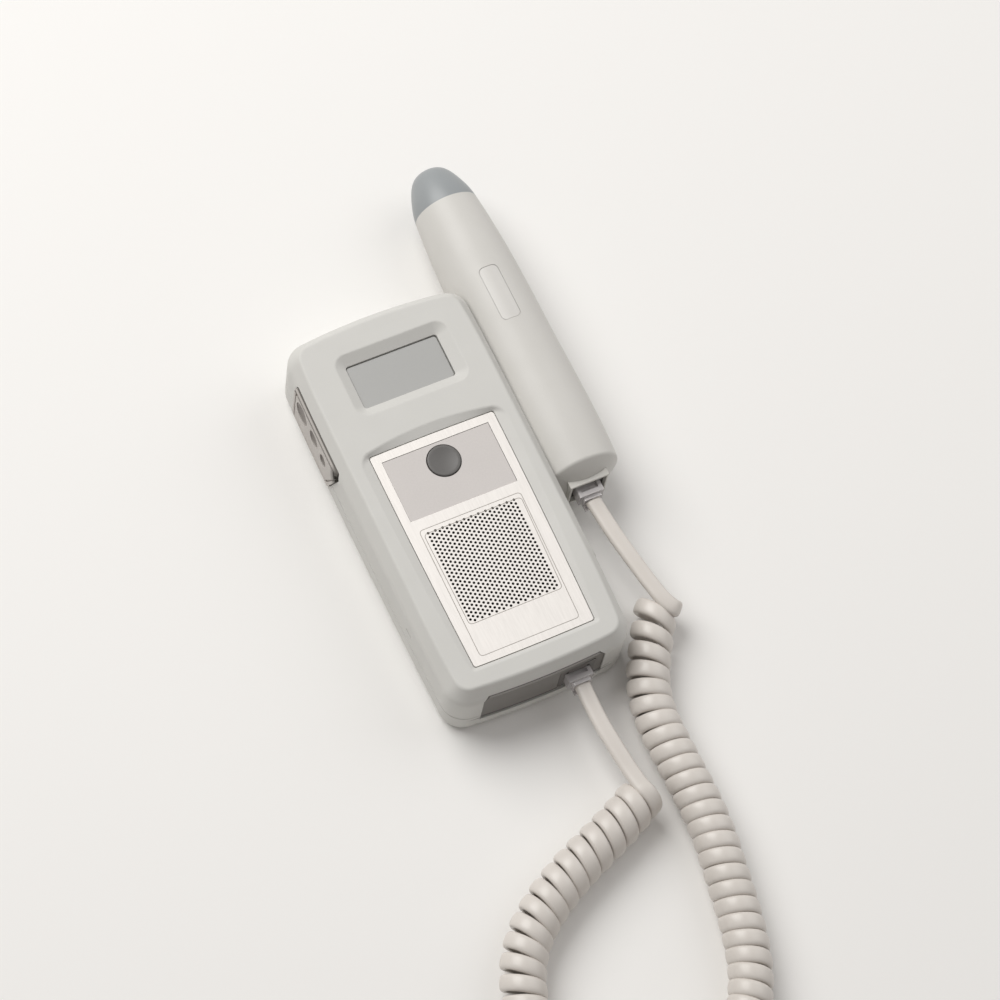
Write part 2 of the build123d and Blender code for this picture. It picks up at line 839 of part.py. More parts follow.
# Rear case: lower shell with the battery bay, the door's runners and the screw bosses
with BuildPart() as rear_case:
    add(case_solid)
    fillet(rear_case.faces().sort_by(Axis.Z)[0].edges(), rear_round)
    split(bisect_by=case_plane.offset(parting_z), keep=Keep.BOTTOM)
    add(hollow_solid, mode=Mode.SUBTRACT)
    # the shadow gap along the seam
    with BuildSketch(case_plane.offset(parting_z - seam_gap)):
        add(case_outline(Plane.XY, -1.0))
        add(case_outline(Plane.XY, seam_depth), mode=Mode.SUBTRACT)
    extrude(amount=seam_gap, mode=Mode.SUBTRACT)
    # pad around the door opening and walls and roof of the battery bay
    with BuildSketch(case_plane.offset(wall)):
        with Locations((0, door_y - 2)):
            Rectangle(
                2 * (bay_half_width + door_margin + 3),
                case_length - wall - door_y,
                align=(Align.CENTER, Align.MIN),
            )
    extrude(amount=door_pad)
    with BuildSketch(case_plane.offset(wall)):
        with Locations((0, battery_y - bay_clearance - bay_wall)):
            Rectangle(
                2 * (bay_half_width + bay_wall),
                bay_end_y - battery_y + bay_clearance + 2 * bay_wall,
                align=(Align.CENTER, Align.MIN),
            )
    extrude(amount=bay_top_z + bay_roof - wall)
    with BuildSketch(case_plane):
        with Locations((0, battery_y - bay_clearance)):
            Rectangle(
                2 * bay_half_width, bay_end_y - battery_y + bay_clearance, align=(Align.CENTER, Align.MIN)
            )
    extrude(amount=bay_top_z, mode=Mode.SUBTRACT)
    # bosses and screws' recesses
    with BuildSketch(case_plane.offset(wall)):
        with Locations(*screw_places):
            Circle(boss_radius)
    extrude(amount=parting_z - wall)
    with BuildSketch(case_plane):
        with Locations(*screw_places):
            Circle(screw_radius + screw_clearance)
    extrude(amount=parting_z, mode=Mode.SUBTRACT)
    with BuildSketch(case_plane):
        with Locations(*screw_places):
            Circle(screw_head_radius + screw_clearance)
    extrude(amount=screw_recess, mode=Mode.SUBTRACT)
    add(dock_wall & case_solid & lower_half)
    add(dock_form(dock_radius), mode=Mode.SUBTRACT)
    # the door's slot and its tongues' grooves, open at the top end
    with BuildSketch(case_plane):
        with Locations((0, door_y - door_clearance)):
            Rectangle(2 * (door_half + door_clearance), case_length, align=(Align.CENTER, Align.MIN))
    extrude(amount=door_lift + door_thickness + door_clearance, mode=Mode.SUBTRACT)
    with BuildSketch(case_plane.offset(door_tongue_z - door_clearance)):
        with Locations((0, door_y - door_clearance)):
            Rectangle(
                2 * (door_half + door_tongue + door_clearance), case_length, align=(Align.CENTER, Align.MIN)
            )
    extrude(amount=door_tongue_thickness + 2 * door_clearance, mode=Mode.SUBTRACT)
    add(keypad_pocket, mode=Mode.SUBTRACT)
    add(end_opening, mode=Mode.SUBTRACT)
rear_case.part.label = "rear_case"
export_step(rear_case.part, "parts/rear_case.step")

# Battery door: slides off at the top end on its two tongues
with BuildPart() as battery_door:
    with BuildSketch(case_plane.offset(door_lift)):
        with Locations((0, door_y)):
            Rectangle(2 * door_half, case_length, align=(Align.CENTER, Align.MIN))
    extrude(amount=door_thickness)
    with BuildSketch(case_plane.offset(door_tongue_z)):
        with Locations((0, door_y)):
            Rectangle(
                2 * (door_half + door_tongue), case_length - door_y - 8, align=(Align.CENTER, Align.MIN)
            )
    extrude(amount=door_tongue_thickness)
    add(rear_form, mode=Mode.INTERSECT)
    with BuildSketch(case_plane.offset(door_lift)):
        with Locations((0, case_length - rib_inset)):
            with GridLocations(1, rib_pitch, 1, rib_count):
                SlotOverall(rib_length, rib_width)
    extrude(amount=rib_depth, mode=Mode.SUBTRACT)
battery_door.part.label = "battery_door"
export_step(battery_door.part, "parts/battery_door.step")

# Dark panel set in the bottom end around the jack, stepped back along its lower edge
with BuildPart() as end_panel:
    with BuildSketch(case_plane.offset(end_lip_z + end_panel_gap)):
        add(case_outline(Plane.XY, end_step_inset))
        add(case_outline(Plane.XY, wall + 0.1), mode=Mode.SUBTRACT)
    extrude(amount=end_panel_top_z - end_lip_z - end_panel_gap)
    with BuildSketch(case_plane.offset(end_panel_bottom_z)):
        add(case_outline(Plane.XY, end_panel_inset))
        add(case_outline(Plane.XY, wall + 0.1), mode=Mode.SUBTRACT)
    extrude(amount=end_panel_top_z - end_panel_bottom_z)
    with BuildSketch(end_plane):
        add(end_outline(end_lip_z + end_panel_gap, 0))
    extrude(amount=-case_corner, mode=Mode.INTERSECT)
    with BuildSketch(case_plane.offset(end_panel_bottom_z + 1)):
        add(case_outline(Plane.XY, wall + 0.1))
        add(case_outline(Plane.XY, wall + 1.1), mode=Mode.SUBTRACT)
        with Locations(((end_panel_left + end_panel_right) / 2, 0)):
            Rectangle(
                end_panel_right - end_panel_left + 2 * end_panel_flange, 2 * case_corner, mode=Mode.INTERSECT
            )
    extrude(amount=end_panel_top_z - end_panel_bottom_z - 5)
    with BuildSketch(end_plane):
        with Locations((jack_x, jack_opening_top_z)):
            Rectangle(jack_width, case_height, align=(Align.CENTER, Align.MAX))
    extrude(amount=-case_corner, mode=Mode.SUBTRACT)
end_panel.part.label = "end_panel"
export_step(end_panel.part, "parts/end_panel.step")

# Brushed faceplate with the label's window and the perforated field
with BuildPart() as faceplate:
    add(plate_outline(case_plane.offset(plate_bottom_z), 0))
    extrude(amount=plate_thickness)
    with BuildSketch(case_plane.offset(plate_bottom_z)):
        with Locations((face_x, panel_y)):
            Rectangle(panel_width, panel_length)
        with Locations((field_x, field_y)):
            with GridLocations(2 * column_pitch, hole_pitch, columns, rows):
                Circle(hole_diameter / 2)
        with Locations((field_x, field_y - hole_pitch / 2)):
            with GridLocations(2 * column_pitch, hole_pitch, columns - 1, rows):
                Circle(hole_diameter / 2)
    extrude(amount=plate_thickness, mode=Mode.SUBTRACT)
faceplate.part.label = "faceplate"
export_step(faceplate.part, "parts/faceplate.step")

# Thin black cloth behind the perforated field
with BuildPart() as grille_foam:
    foam_grow = 2 * (field_margin - foam_margin)
    with BuildSketch(case_plane.offset(plate_bottom_z)):
        with Locations((field_x, field_y)):
            RectangleRounded(field_width + foam_grow, field_length + foam_grow, field_corner - foam_margin)
    extrude(amount=-foam_thickness)
grille_foam.part.label = "grille_foam"
export_step(grille_foam.part, "parts/grille_foam.step")

# Label panel in the faceplate's window, with the button's hole
with BuildPart() as button_panel:
    with BuildSketch(case_plane.offset(plate_bottom_z)):
        with Locations((face_x, panel_y)):
            Rectangle(panel_width - 2 * panel_gap, panel_length - 2 * panel_gap)
        with Locations((face_x, power_y)):
            Circle(power_diameter / 2 + power_clearance, mode=Mode.SUBTRACT)
    extrude(amount=panel_thickness)
button_panel.part.label = "button_panel"
export_step(button_panel.part, "parts/button_panel.step")

# Power button: dished cap with a flange that holds it under the front case
with BuildPart() as power_button:
    with BuildSketch(case_plane.offset(power_base_z)):
        with Locations((face_x, power_y)):
            Circle(power_diameter / 2)
    extrude(amount=plate_top_z + power_proud - power_base_z)
    fillet(power_button.faces().sort_by(Axis.Z)[-1].edges(), power_round)
    with BuildSketch(case_plane.offset(power_base_z)):
        with Locations((face_x, power_y)):
            Circle(power_diameter / 2 + power_flange)
    extrude(amount=power_flange_thickness)
    dish_radius = (power_diameter / 2 - 1) ** 2 / (2 * power_dish)
    dish_z = plate_top_z + power_proud - power_dish + dish_radius
    with Locations((case_x + face_x, base_y + power_y, dish_z)):
        Sphere(dish_radius, mode=Mode.SUBTRACT)
power_button.part.label = "power_button"
export_step(power_button.part, "parts/power_button.step")

# Switch under the power button
with BuildPart() as power_switch:
    with BuildSketch(case_plane.offset(board_top_z)):
        with Locations((face_x, power_y)):
            RectangleRounded(power_switch_size, power_switch_size, switch_corner)
    extrude(amount=power_base_z - power_travel - switch_gap - power_plunger_height - board_top_z)
    with BuildSketch(case_plane.offset(board_top_z)):
        with Locations((face_x, power_y)):
            Circle(power_plunger_radius)
    extrude(amount=power_base_z - power_travel - switch_gap - board_top_z)
power_switch.part.label = "power_switch"
export_step(power_switch.part, "parts/power_switch.step")

# Display window and the readout module behind it
with BuildPart() as display_window:
    with BuildSketch(case_plane.offset(window_seat_z)):
        with Locations((window_x - window_shift, window_y - window_shift)):
            RectangleRounded(window_width, window_length, window_corner)
    extrude(amount=window_thickness)
    chamfer(display_window.faces().sort_by(Axis.Z)[-1].edges(), 0.2)
display_window.part.label = "display_window"
export_step(display_window.part, "parts/display_window.step")

with BuildPart() as display_module:
    with BuildSketch(case_plane.offset(display_base_z)):
        with Locations((window_x, window_y)):
            Rectangle(display_width, display_length)
    extrude(amount=display_thickness)
    with BuildSketch(case_plane.offset(display_base_z)):
        with Locations((window_x, window_y)):
            Rectangle(display_width - 2 * display_step, display_length - 2 * display_step)
    extrude(amount=-(display_base_z - board_top_z))
    chamfer(display_module.faces().sort_by(Axis.Z)[-1].edges(), 0.3)
display_module.part.label = "display_module"
export_step(display_module.part, "parts/display_module.step")

# Main board with its larger components
with BuildPart() as main_board:
    with BuildSketch(case_plane.offset(board_bottom_z)):
        with Locations((board_x, board_y)):
            Rectangle(board_width, board_length, align=(Align.CENTER, Align.MIN))
    extrude(amount=board_thickness)
main_board.part.label = "main_board"
export_step(main_board.part, "parts/main_board.step")

with BuildPart() as board_parts:
    with BuildSketch(case_plane.offset(board_top_z)):
        with Locations(chip_place):
            Rectangle(chip_size, chip_size)
        with Locations(*small_chip_places):
            Rectangle(6, 5)
    extrude(amount=chip_height)
    with BuildSketch(case_plane.offset(board_bottom_z)):
        with Locations(*capacitor_places):
            Circle(capacitor_radius)
    extrude(amount=-capacitor_height)
    with BuildSketch(case_plane.offset(board_bottom_z)):
        with Locations(inductor_place):
            Rectangle(8, 6)
    extrude(amount=-inductor_height)
board_parts.part.label = "board_parts"
export_step(board_parts.part, "parts/board_parts.step")

# Speaker with its sealing ring, behind the perforated field
with BuildPart() as speaker_gasket:
    with BuildSketch(case_plane.offset(tray_bottom_z)):
        with Locations((field_x, field_y)):
            Circle(speaker_radius)
            Circle(speaker_radius - gasket_width, mode=Mode.SUBTRACT)
    extrude(amount=-gasket_thickness)
speaker_gasket.part.label = "speaker_gasket"
export_step(speaker_gasket.part, "parts/speaker_gasket.step")

with BuildPart() as speaker:
    cone_depth = speaker_depth - speaker_rim - magnet_height
    with BuildSketch(side_plane.offset(field_x)):
        with BuildLine():
            Polyline(
                (field_y, speaker_top_z - 1.2),
                (field_y + 5, speaker_top_z - 3.5),
                (field_y + speaker_radius - 3.2, speaker_top_z),
                (field_y + speaker_radius, speaker_top_z),
                (field_y + speaker_radius, speaker_top_z - speaker_rim),
                (field_y + speaker_radius - 2, speaker_top_z - speaker_rim),
                (field_y + magnet_radius, speaker_top_z - speaker_rim - cone_depth),
                (field_y + magnet_radius, speaker_top_z - speaker_depth),
                (field_y, speaker_top_z - speaker_depth),
                close=True,
            )
        make_face()
    revolve(axis=Axis((case_x + field_x, base_y + field_y, 0), (0, 0, 1)))
speaker.part.label = "speaker"
export_step(speaker.part, "parts/speaker.step")

# Keypad surround on the left flank: a rubber pad that follows the flank and its flare, with a fine
# groove inside its edge and a finger scoop at its lower end, held between the two shells
with BuildPart() as keypad_bezel:
    with BuildSketch(side_plane.offset(keypad_inner_x)):
        add(keypad_outline(0))
    extrude(amount=-2 * wall - 5)
    add(soft_form(-keypad_proud), mode=Mode.INTERSECT)
    with BuildPart(mode=Mode.SUBTRACT):
        with BuildSketch(side_plane.offset(keypad_inner_x - 1)):
            add(keypad_outline(-keypad_rim))
            add(keypad_outline(-keypad_rim - keypad_groove), mode=Mode.SUBTRACT)
        extrude(amount=-2 * wall - 5)
        add(soft_form(-keypad_proud + keypad_groove), mode=Mode.SUBTRACT)
    scoop_radius = keypad_scoop**2 / (2 * keypad_scoop_depth)
    scoop_x = -case_width / 2 - keypad_proud + keypad_scoop_depth - scoop_radius
    with Locations((case_x + scoop_x, base_y + keypad_low_y, keypad_high_z - 3)):
        Sphere(scoop_radius, mode=Mode.SUBTRACT)
    for key_name, key_y, key_z, key_length, key_height in key_places:
        with BuildSketch(side_plane):
            with Locations((key_y, key_z)):
                Ellipse(key_length / 2 + key_clearance, key_height / 2 + key_clearance)
        extrude(amount=-case_width, mode=Mode.SUBTRACT)
keypad_bezel.part.label = "keypad_bezel"
export_step(keypad_bezel.part, "parts/keypad_bezel.step")

# Three dished keys, each with a flange behind the surround
for key_name, key_y, key_z, key_length, key_height in key_places:
    key_depth = key_inner_x + flank_x(key_y) + keypad_proud - key_sink
    with BuildPart() as key:
        with BuildSketch(side_plane.offset(key_inner_x)):
            with Locations((key_y, key_z)):
                Ellipse(key_length / 2, key_height / 2)
        extrude(amount=-key_depth)
        dish_radius = (key_height / 2) ** 2 / (2 * key_dish) + key_dish
        dish_x = case_x + key_inner_x - key_depth + key_dish - dish_radius
        with Locations((dish_x, base_y + key_y, key_z)):
            Sphere(dish_radius, mode=Mode.SUBTRACT)
        with BuildSketch(side_plane.offset(key_inner_x)):
            with Locations((key_y, key_z)):
                Ellipse(key_length / 2 + key_flange, key_height / 2 + key_flange)
        extrude(amount=-key_flange_thickness)
    key.part.label = key_name
    export_step(key.part, f"parts/{key_name}.step")

# Small board with the three switches behind the keys
with BuildPart() as key_board:
    with BuildSketch(side_plane.offset(key_board_x)):
        with Locations(((keypad_low_y + keypad_high_y) / 2, key_board_z)):
            Rectangle(keypad_high_y - keypad_low_y - 2 * key_board_inset, key_board_height)
    extrude(amount=key_board_thickness)
    for key_name, key_y, key_z, key_length, key_height in key_places:
        with BuildSketch(side_plane.offset(key_board_x)):
            with Locations((key_y, key_z)):
                RectangleRounded(key_switch_size, key_switch_size, switch_corner)
        extrude(amount=-(key_board_x - key_inner_x - key_travel - switch_gap))
key_board.part.label = "key_board"
export_step(key_board.part, "parts/key_board.step")

# Jack at the unit's bottom end and the small board that carries it
with BuildPart() as unit_jack:
    add(
        jack_form(
            jack_x + jack_side_gap / 2,
            jack_setback,
            jack_top_z - jack_height,
            jack_top_z,
            jack_width - jack_side_gap - 0.1,
            unit_plug_x,
            plug_z,
            jack_depth,
        )
    )
unit_jack.part.label = "unit_jack"
export_step(unit_jack.part, "parts/unit_jack.step")

with BuildPart() as jack_board:
    with BuildSketch(case_plane.offset(jack_top_z)):
        with Locations((0, jack_board_y)):
            Rectangle(jack_board_width, jack_board_length, align=(Align.CENTER, Align.MIN))
    extrude(amount=board_thickness)
jack_board.part.label = "jack_board"
export_step(jack_board.part, "parts/jack_board.step")

# Nine-volt block battery and the snap on its terminals
with BuildPart() as battery:
    with BuildSketch(end_plane.offset(-battery_y)):
        with Locations((0, battery_z + battery_height / 2)):
            RectangleRounded(battery_width, battery_height, battery_round)
    extrude(amount=-battery_length)
    with BuildSketch(end_plane.offset(-battery_y - battery_length)):
        with Locations((-terminal_spacing / 2, battery_z + battery_height / 2)):
            Circle(stud_radius)
        with Locations((terminal_spacing / 2, battery_z + battery_height / 2)):
            RegularPolygon(socket_radius, 6)
    extrude(amount=-terminal_height)
battery.part.label = "battery"
export_step(battery.part, "parts/battery.step")

with BuildPart() as battery_snap:
    with BuildSketch(end_plane.offset(-snap_y)):
        with Locations((0, battery_z + battery_height / 2)):
            RectangleRounded(battery_width - 1, battery_height - 4, 3.0)
        with Locations(
            (-terminal_spacing / 2, battery_z + battery_height / 2),
            (terminal_spacing / 2, battery_z + battery_height / 2),
        ):
            Circle(snap_hole_radius, mode=Mode.SUBTRACT)
    extrude(amount=-snap_thickness)
battery_snap.part.label = "battery_snap"
export_step(battery_snap.part, "parts/battery_snap.step")

# Screws that hold the rear case to the front
with BuildPart() as case_screws:
    with BuildSketch(case_plane.offset(screw_recess - screw_head_height)):
        with Locations(*screw_places):
            Circle(screw_head_radius)
    extrude(amount=screw_head_height)
    with BuildSketch(case_plane.offset(screw_recess - screw_head_height)):
        with Locations(*screw_places):
            Circle(screw_radius)
    extrude(amount=screw_head_height + screw_length)
    with BuildSketch(case_plane.offset(screw_recess - screw_head_height)):
        with Locations(*screw_places):
            Rectangle(screw_cross_length, screw_cross_width)
            Rectangle(screw_cross_width, screw_cross_length)
    extrude(amount=screw_cross_depth, mode=Mode.SUBTRACT)
case_screws.part.label = "case_screws"
export_step(case_screws.part, "parts/case_screws.step")

# Probe barrel: hollow body with the dock groove, the label's recess and a rounded tail rim
with BuildPart() as probe_barrel:
    add(barrel_form(0, 0, 0))
    fillet(probe_barrel.faces().sort_by(Axis.Y)[0].edges(), tail_round)
    inner_radius = belly_radius - barrel_wall
    with BuildSketch(probe_plane):
        with BuildLine():
            inner_start = (tail_dome_y + tail_wall, 0)
            inner_end = (probe_tail_y + 1, inner_radius)
            ThreePointArc(inner_start, (tail_dome_y + tail_wall + 1.1, inner_radius / 2), inner_end)
            Polyline(
                inner_end,
                (neck_y - 20, inner_radius - 0.3),
                (cap_y - tip_spigot - 1, spigot_radius),
                (cap_y + 1, spigot_radius),
                (cap_y + 1, 0),
                inner_start,
            )
        make_face()
    revolve(axis=probe_axis, mode=Mode.SUBTRACT)
    with BuildSketch(probe_end_plane.offset(-tail_block_y + 1)):
        Rectangle(tail_block_width + 2 * tail_gap, tail_block_height + 2 * tail_gap)
    extrude(amount=-(tail_flange_y - tail_block_y), mode=Mode.SUBTRACT)
    # backing behind the groove, kept inside the outer form
    with BuildSketch(end_plane.offset(-barrel_backing_y)):
        with Locations((groove_floor_x, probe_z)):
            Rectangle(4 * groove_backing, rail_head_width + 4)
    extrude(amount=-(rail_y + rail_length + 3 - barrel_backing_y))
    groove_start = probe_tail_y - 5
    groove = rail_form(groove_start, rail_y + rail_length + rail_clearance - groove_start, rail_clearance)
    add(groove, mode=Mode.SUBTRACT)
    label_core = barrel_form(label_depth, label_y - label_length, label_y + label_length)
    add(label_prism(label_gap) - label_core, mode=Mode.SUBTRACT)
probe_barrel.part.label = "probe_barrel"
export_step(probe_barrel.part, "parts/probe_barrel.step")

# Bare label in the barrel's recess
with BuildPart() as probe_label:
    label_start = label_y - label_length
    label_end = label_y + label_length
    add(barrel_form(label_depth - label_thickness, label_start, label_end))
    add(label_prism(0), mode=Mode.INTERSECT)
    add(barrel_form(label_depth - label_seat, label_start, label_end), mode=Mode.SUBTRACT)
probe_label.part.label = "probe_label"
export_step(probe_label.part, "parts/probe_label.step")

# Nose cap that touches the skin, with its spigot in the barrel
with BuildPart() as probe_tip:
    with BuildSketch(probe_plane):
        with BuildLine():
            Spline(
                (cap_y, cap_radius),
                (cap_y + 0.52 * cap_length, 0.815 * cap_radius),
                (cap_y + 0.86 * cap_length, 0.57 * cap_radius),
                (total_length, 0),
                tangents=[(1, -0.1), (0, -1)],
            )
            Polyline(
                (total_length, 0),
                (cap_y - tip_spigot, 0),
                (cap_y - tip_spigot, spigot_radius - 0.1),
                (cap_y, spigot_radius - 0.1),
                (cap_y, cap_radius),
            )
        make_face()
    revolve(axis=probe_axis)
    with BuildSketch(probe_end_plane.offset(-(cap_y - tip_spigot))):
        Circle(tip_bore)
    extrude(amount=-(tip_spigot + cap_length - tip_front_wall), mode=Mode.SUBTRACT)
probe_tip.part.label = "probe_tip"
export_step(probe_tip.part, "parts/probe_tip.step")

# Crystal holder in the nose with two half-round crystals
with BuildPart() as crystal_holder:
    with BuildSketch(probe_end_plane.offset(-(crystal_y - holder_thickness + 0.4))):
        Circle(tip_bore - 0.1)
    extrude(amount=-holder_thickness)
    with BuildSketch(probe_end_plane.offset(-crystal_y)):
        Circle(crystal_radius + 0.1)
        Rectangle(crystal_split - 0.2, 4 * crystal_radius, mode=Mode.SUBTRACT)
    extrude(amount=-1, mode=Mode.SUBTRACT)
crystal_holder.part.label = "crystal_holder"
export_step(crystal_holder.part, "parts/crystal_holder.step")

with BuildPart() as crystals:
    with BuildSketch(probe_end_plane.offset(-crystal_y)):
        Circle(crystal_radius)
        Rectangle(crystal_split, 4 * crystal_radius, mode=Mode.SUBTRACT)
    extrude(amount=-crystal_thickness)
crystals.part.label = "crystals"
export_step(crystals.part, "parts/crystals.step")

# Tail block around the jack, held by its flange behind the barrel's domed end wall
with BuildPart() as probe_tail:
    with BuildSketch(probe_end_plane.offset(-tail_block_y)):
        Rectangle(tail_block_width, tail_block_height)
    extrude(amount=-(tail_flange_y + tail_flange_thickness - tail_block_y))
    fillet(probe_tail.faces().sort_by(Axis.Y)[0].edges(), tail_block_round)
    with BuildSketch(probe_end_plane.offset(-tail_flange_y)):
        Circle(tail_flange_radius)
    extrude(amount=-tail_flange_thickness)
    with BuildSketch(probe_end_plane.offset(-tail_block_y + 1)):
        Rectangle(tail_block_width - 2 * tail_block_wall, tail_block_height - 2 * tail_block_wall)
    extrude(amount=-20, mode=Mode.SUBTRACT)
probe_tail.part.label = "probe_tail"
export_step(probe_tail.part, "parts/probe_tail.step")

with BuildPart() as probe_jack:
    add(
        jack_form(
            probe_offset,
            probe_jack_y,
            probe_z - tail_block_height / 2 + tail_block_wall + 0.1,
            probe_z + tail_block_height / 2 - tail_block_wall - 0.1,
            tail_block_width - 2 * tail_block_wall - 0.2,
            probe_plug_x,
            probe_plug_z,
            jack_depth,
        )
    )
probe_jack.part.label = "probe_jack"
export_step(probe_jack.part, "parts/probe_jack.step")

# Amplifier board along the barrel
with BuildPart() as probe_board:
    with BuildSketch(case_plane.offset(probe_board_z)):
        with Locations((probe_offset + probe_board_x, probe_jack_y + jack_depth)):
            Rectangle(probe_board_width, probe_board_length, align=(Align.CENTER, Align.MIN))
    extrude(amount=board_thickness)
    with BuildSketch(case_plane.offset(probe_board_z + board_thickness)):
        with Locations((probe_offset + probe_board_x, 100), (probe_offset + probe_board_x, 125)):
            Rectangle(probe_chip_size, probe_chip_size)
    extrude(amount=chip_height)
probe_board.part.label = "probe_board"
export_step(probe_board.part, "parts/probe_board.step")

# Plugs on the cord's two ends
with BuildPart() as unit_plug:
    add(plug_form(unit_plug_x, unit_plug_y, plug_z))
unit_plug.part.label = "unit_plug"
export_step(unit_plug.part, "parts/unit_plug.step")

with BuildPart() as probe_plug:
    add(plug_form(probe_plug_x, probe_plug_y, probe_plug_z))
probe_plug.part.label = "probe_plug"
export_step(probe_plug.part, "parts/probe_plug.step")


# Radii of a cord's bends: each arc is as large as its two runs allow
def bend_radii(route):
    radii = []
    for before, here, after in zip(route, route[1:], route[2:]):
        arriving = Vector(*here) - Vector(*before)
        leaving = Vector(*after) - Vector(*here)
        half_turn = arriving.get_angle(leaving) / 2
        shorter = min(arriving.length, leaving.length)
        radii.append(0.45 * shorter / tan(radians(half_turn)))
    return radii


for cord_name, route, diameter in cord_routes:
    with BuildPart() as cord:
        radii = bend_radii(route)
        with BuildLine() as path:
            FilletPolyline(*route, radius=radii)
        with BuildSketch(Plane(origin=path.line @ 0, z_dir=path.line % 0)):
            Circle(diameter / 2)
        sweep()
    cord.part.label = cord_name
    export_step(cord.part, f"parts/{cord_name}.step")
    path_length = sum(edge.length for edge in path.line.edges())
    expected = pi * diameter**2 / 4 * path_length
    print(cord_name, "radii", [round(radius, 1) for radius in radii])
    print(cord_name, "length", round(path_length, 1), "volume share", round(cord.part.volume / expected, 4))
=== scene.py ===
# Handheld fetal doppler with its docked probe and a curly cord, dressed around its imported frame.
# Everything is in metres in the frame's own axes: X across the unit, Y along it, Z up.
import math
import random

import bmesh
import bpy
from mathutils import Matrix, Vector


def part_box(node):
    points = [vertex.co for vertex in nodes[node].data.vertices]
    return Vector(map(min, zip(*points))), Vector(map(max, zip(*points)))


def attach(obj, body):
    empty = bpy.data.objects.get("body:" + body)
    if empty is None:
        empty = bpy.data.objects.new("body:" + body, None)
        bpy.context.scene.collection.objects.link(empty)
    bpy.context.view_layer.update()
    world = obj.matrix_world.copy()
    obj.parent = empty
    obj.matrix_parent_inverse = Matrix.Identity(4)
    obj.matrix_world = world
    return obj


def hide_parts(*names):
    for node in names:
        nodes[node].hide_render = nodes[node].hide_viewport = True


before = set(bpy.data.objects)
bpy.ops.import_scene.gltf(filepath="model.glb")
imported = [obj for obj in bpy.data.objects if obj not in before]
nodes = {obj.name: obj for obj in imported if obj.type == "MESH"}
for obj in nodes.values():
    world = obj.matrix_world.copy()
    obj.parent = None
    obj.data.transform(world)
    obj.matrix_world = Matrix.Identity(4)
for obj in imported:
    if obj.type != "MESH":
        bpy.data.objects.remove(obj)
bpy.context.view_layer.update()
mm = 0.001
up = Vector((0, 0, 1))
scene = bpy.context.scene
scene.view_settings.view_transform = "Standard"
print("frame loaded:", len(nodes), "nodes")


def linearColour(hexText):
    channels = [int(hexText[i:i + 2], 16) / 255 for i in (1, 3, 5)]
    return (*[c / 12.92 if c <= 0.04045 else ((c + 0.055) / 1.055) ** 2.4 for c in channels], 1.0)


def addNode(tree, kind, settings=None, links=None):
    node = tree.nodes.new(kind)
    for name, value in (settings or {}).items():
        if isinstance(name, int) or name in node.inputs:
            node.inputs[name].default_value = value
        else:
            setattr(node, name, value)
    for name, source in (links or {}).items():
        tree.links.new(source, node.inputs[name])
    return node


def startMaterial(name, settings):
    material = bpy.data.materials.new(name)
    material.use_nodes = True
    tree = material.node_tree
    tree.nodes.clear()
    surface = addNode(tree, "ShaderNodeBsdfPrincipled", settings)
    addNode(tree, "ShaderNodeOutputMaterial", links={"Surface": surface.outputs[0]})
    place = addNode(tree, "ShaderNodeTexCoord").outputs["Object"]
    return material, tree, surface, place


# camera: high above the unit's bottom end, a little to its left, and rolled so that the unit leans over
cameraLook = {
    "place": (-0.30467, -0.43285, 1.12864),
    "bearing": 37.373,
    "tilt": 65.497,
    "roll": 13.445,
    "lens": 123.66,
    "sensor": 36.0,
    "nearest": 0.05,
    "farthest": 20.0,
}
lensData = bpy.data.cameras.new("camera")
lensData.lens = cameraLook["lens"]
lensData.sensor_width = cameraLook["sensor"]
lensData.clip_start, lensData.clip_end = cameraLook["nearest"], cameraLook["farthest"]
camera = bpy.data.objects.new("camera", lensData)
scene.collection.objects.link(camera)
turn = (
    Matrix.Rotation(-math.radians(cameraLook["bearing"]), 4, "Z")
    @ Matrix.Rotation(math.radians(90 - cameraLook["tilt"]), 4, "X")
    @ Matrix.Rotation(math.radians(cameraLook["roll"]), 4, "Z")
)
camera.matrix_world = Matrix.Translation(Vector(cameraLook["place"])) @ turn
scene.camera = camera
print("camera placed")


# floor: matt white backdrop paper, which shows only the soft shadows on it
floorLook = {"reach": 6.0, "colour": "#F3F2F0", "roughness": 0.9, "shine": 0.1}
floorMesh = bpy.data.meshes.new("floor")
reach = floorLook["reach"]
floorMesh.from_pydata(
    [(-reach, -reach, 0), (reach, -reach, 0), (reach, reach, 0), (-reach, reach, 0)], [], [(0, 1, 2, 3)]
)
floor = bpy.data.objects.new("floor", floorMesh)
scene.collection.objects.link(floor)
floorPaper = startMaterial(
    "floor_paper",
    {
        "Base Color": linearColour(floorLook["colour"]),
        "Roughness": floorLook["roughness"],
        "Specular IOR Level": floorLook["shine"],
    },
)[0]
floorMesh.materials.append(floorPaper)

# the key lamp stands beyond the top end, the fill lamp to the right; both point near the unit's middle
lampLook = {
    "key": {"from": (-0.5, 1.0, 1.4), "size": 1.6, "watts": 27.5, "colour": "#FFFEFC"},
    "fill": {"from": (1.3, 0.1, 1.2), "size": 1.6, "watts": 6.5, "colour": "#FFFFFF"},
}
aim = Vector((0.0, -0.08, 0.0))
for lampName, look in lampLook.items():
    lampData = bpy.data.lights.new(lampName, "AREA")
    lampData.shape = "DISK"
    lampData.size = look["size"]
    lampData.energy = look["watts"]
    lampData.color = linearColour(look["colour"])[:3]
    lamp = bpy.data.objects.new(lampName, lampData)
    scene.collection.objects.link(lamp)
    lamp.location = look["from"]
    lamp.rotation_mode = "QUATERNION"
    lamp.rotation_quaternion = (aim - lamp.location).to_track_quat("-Z", "Y")

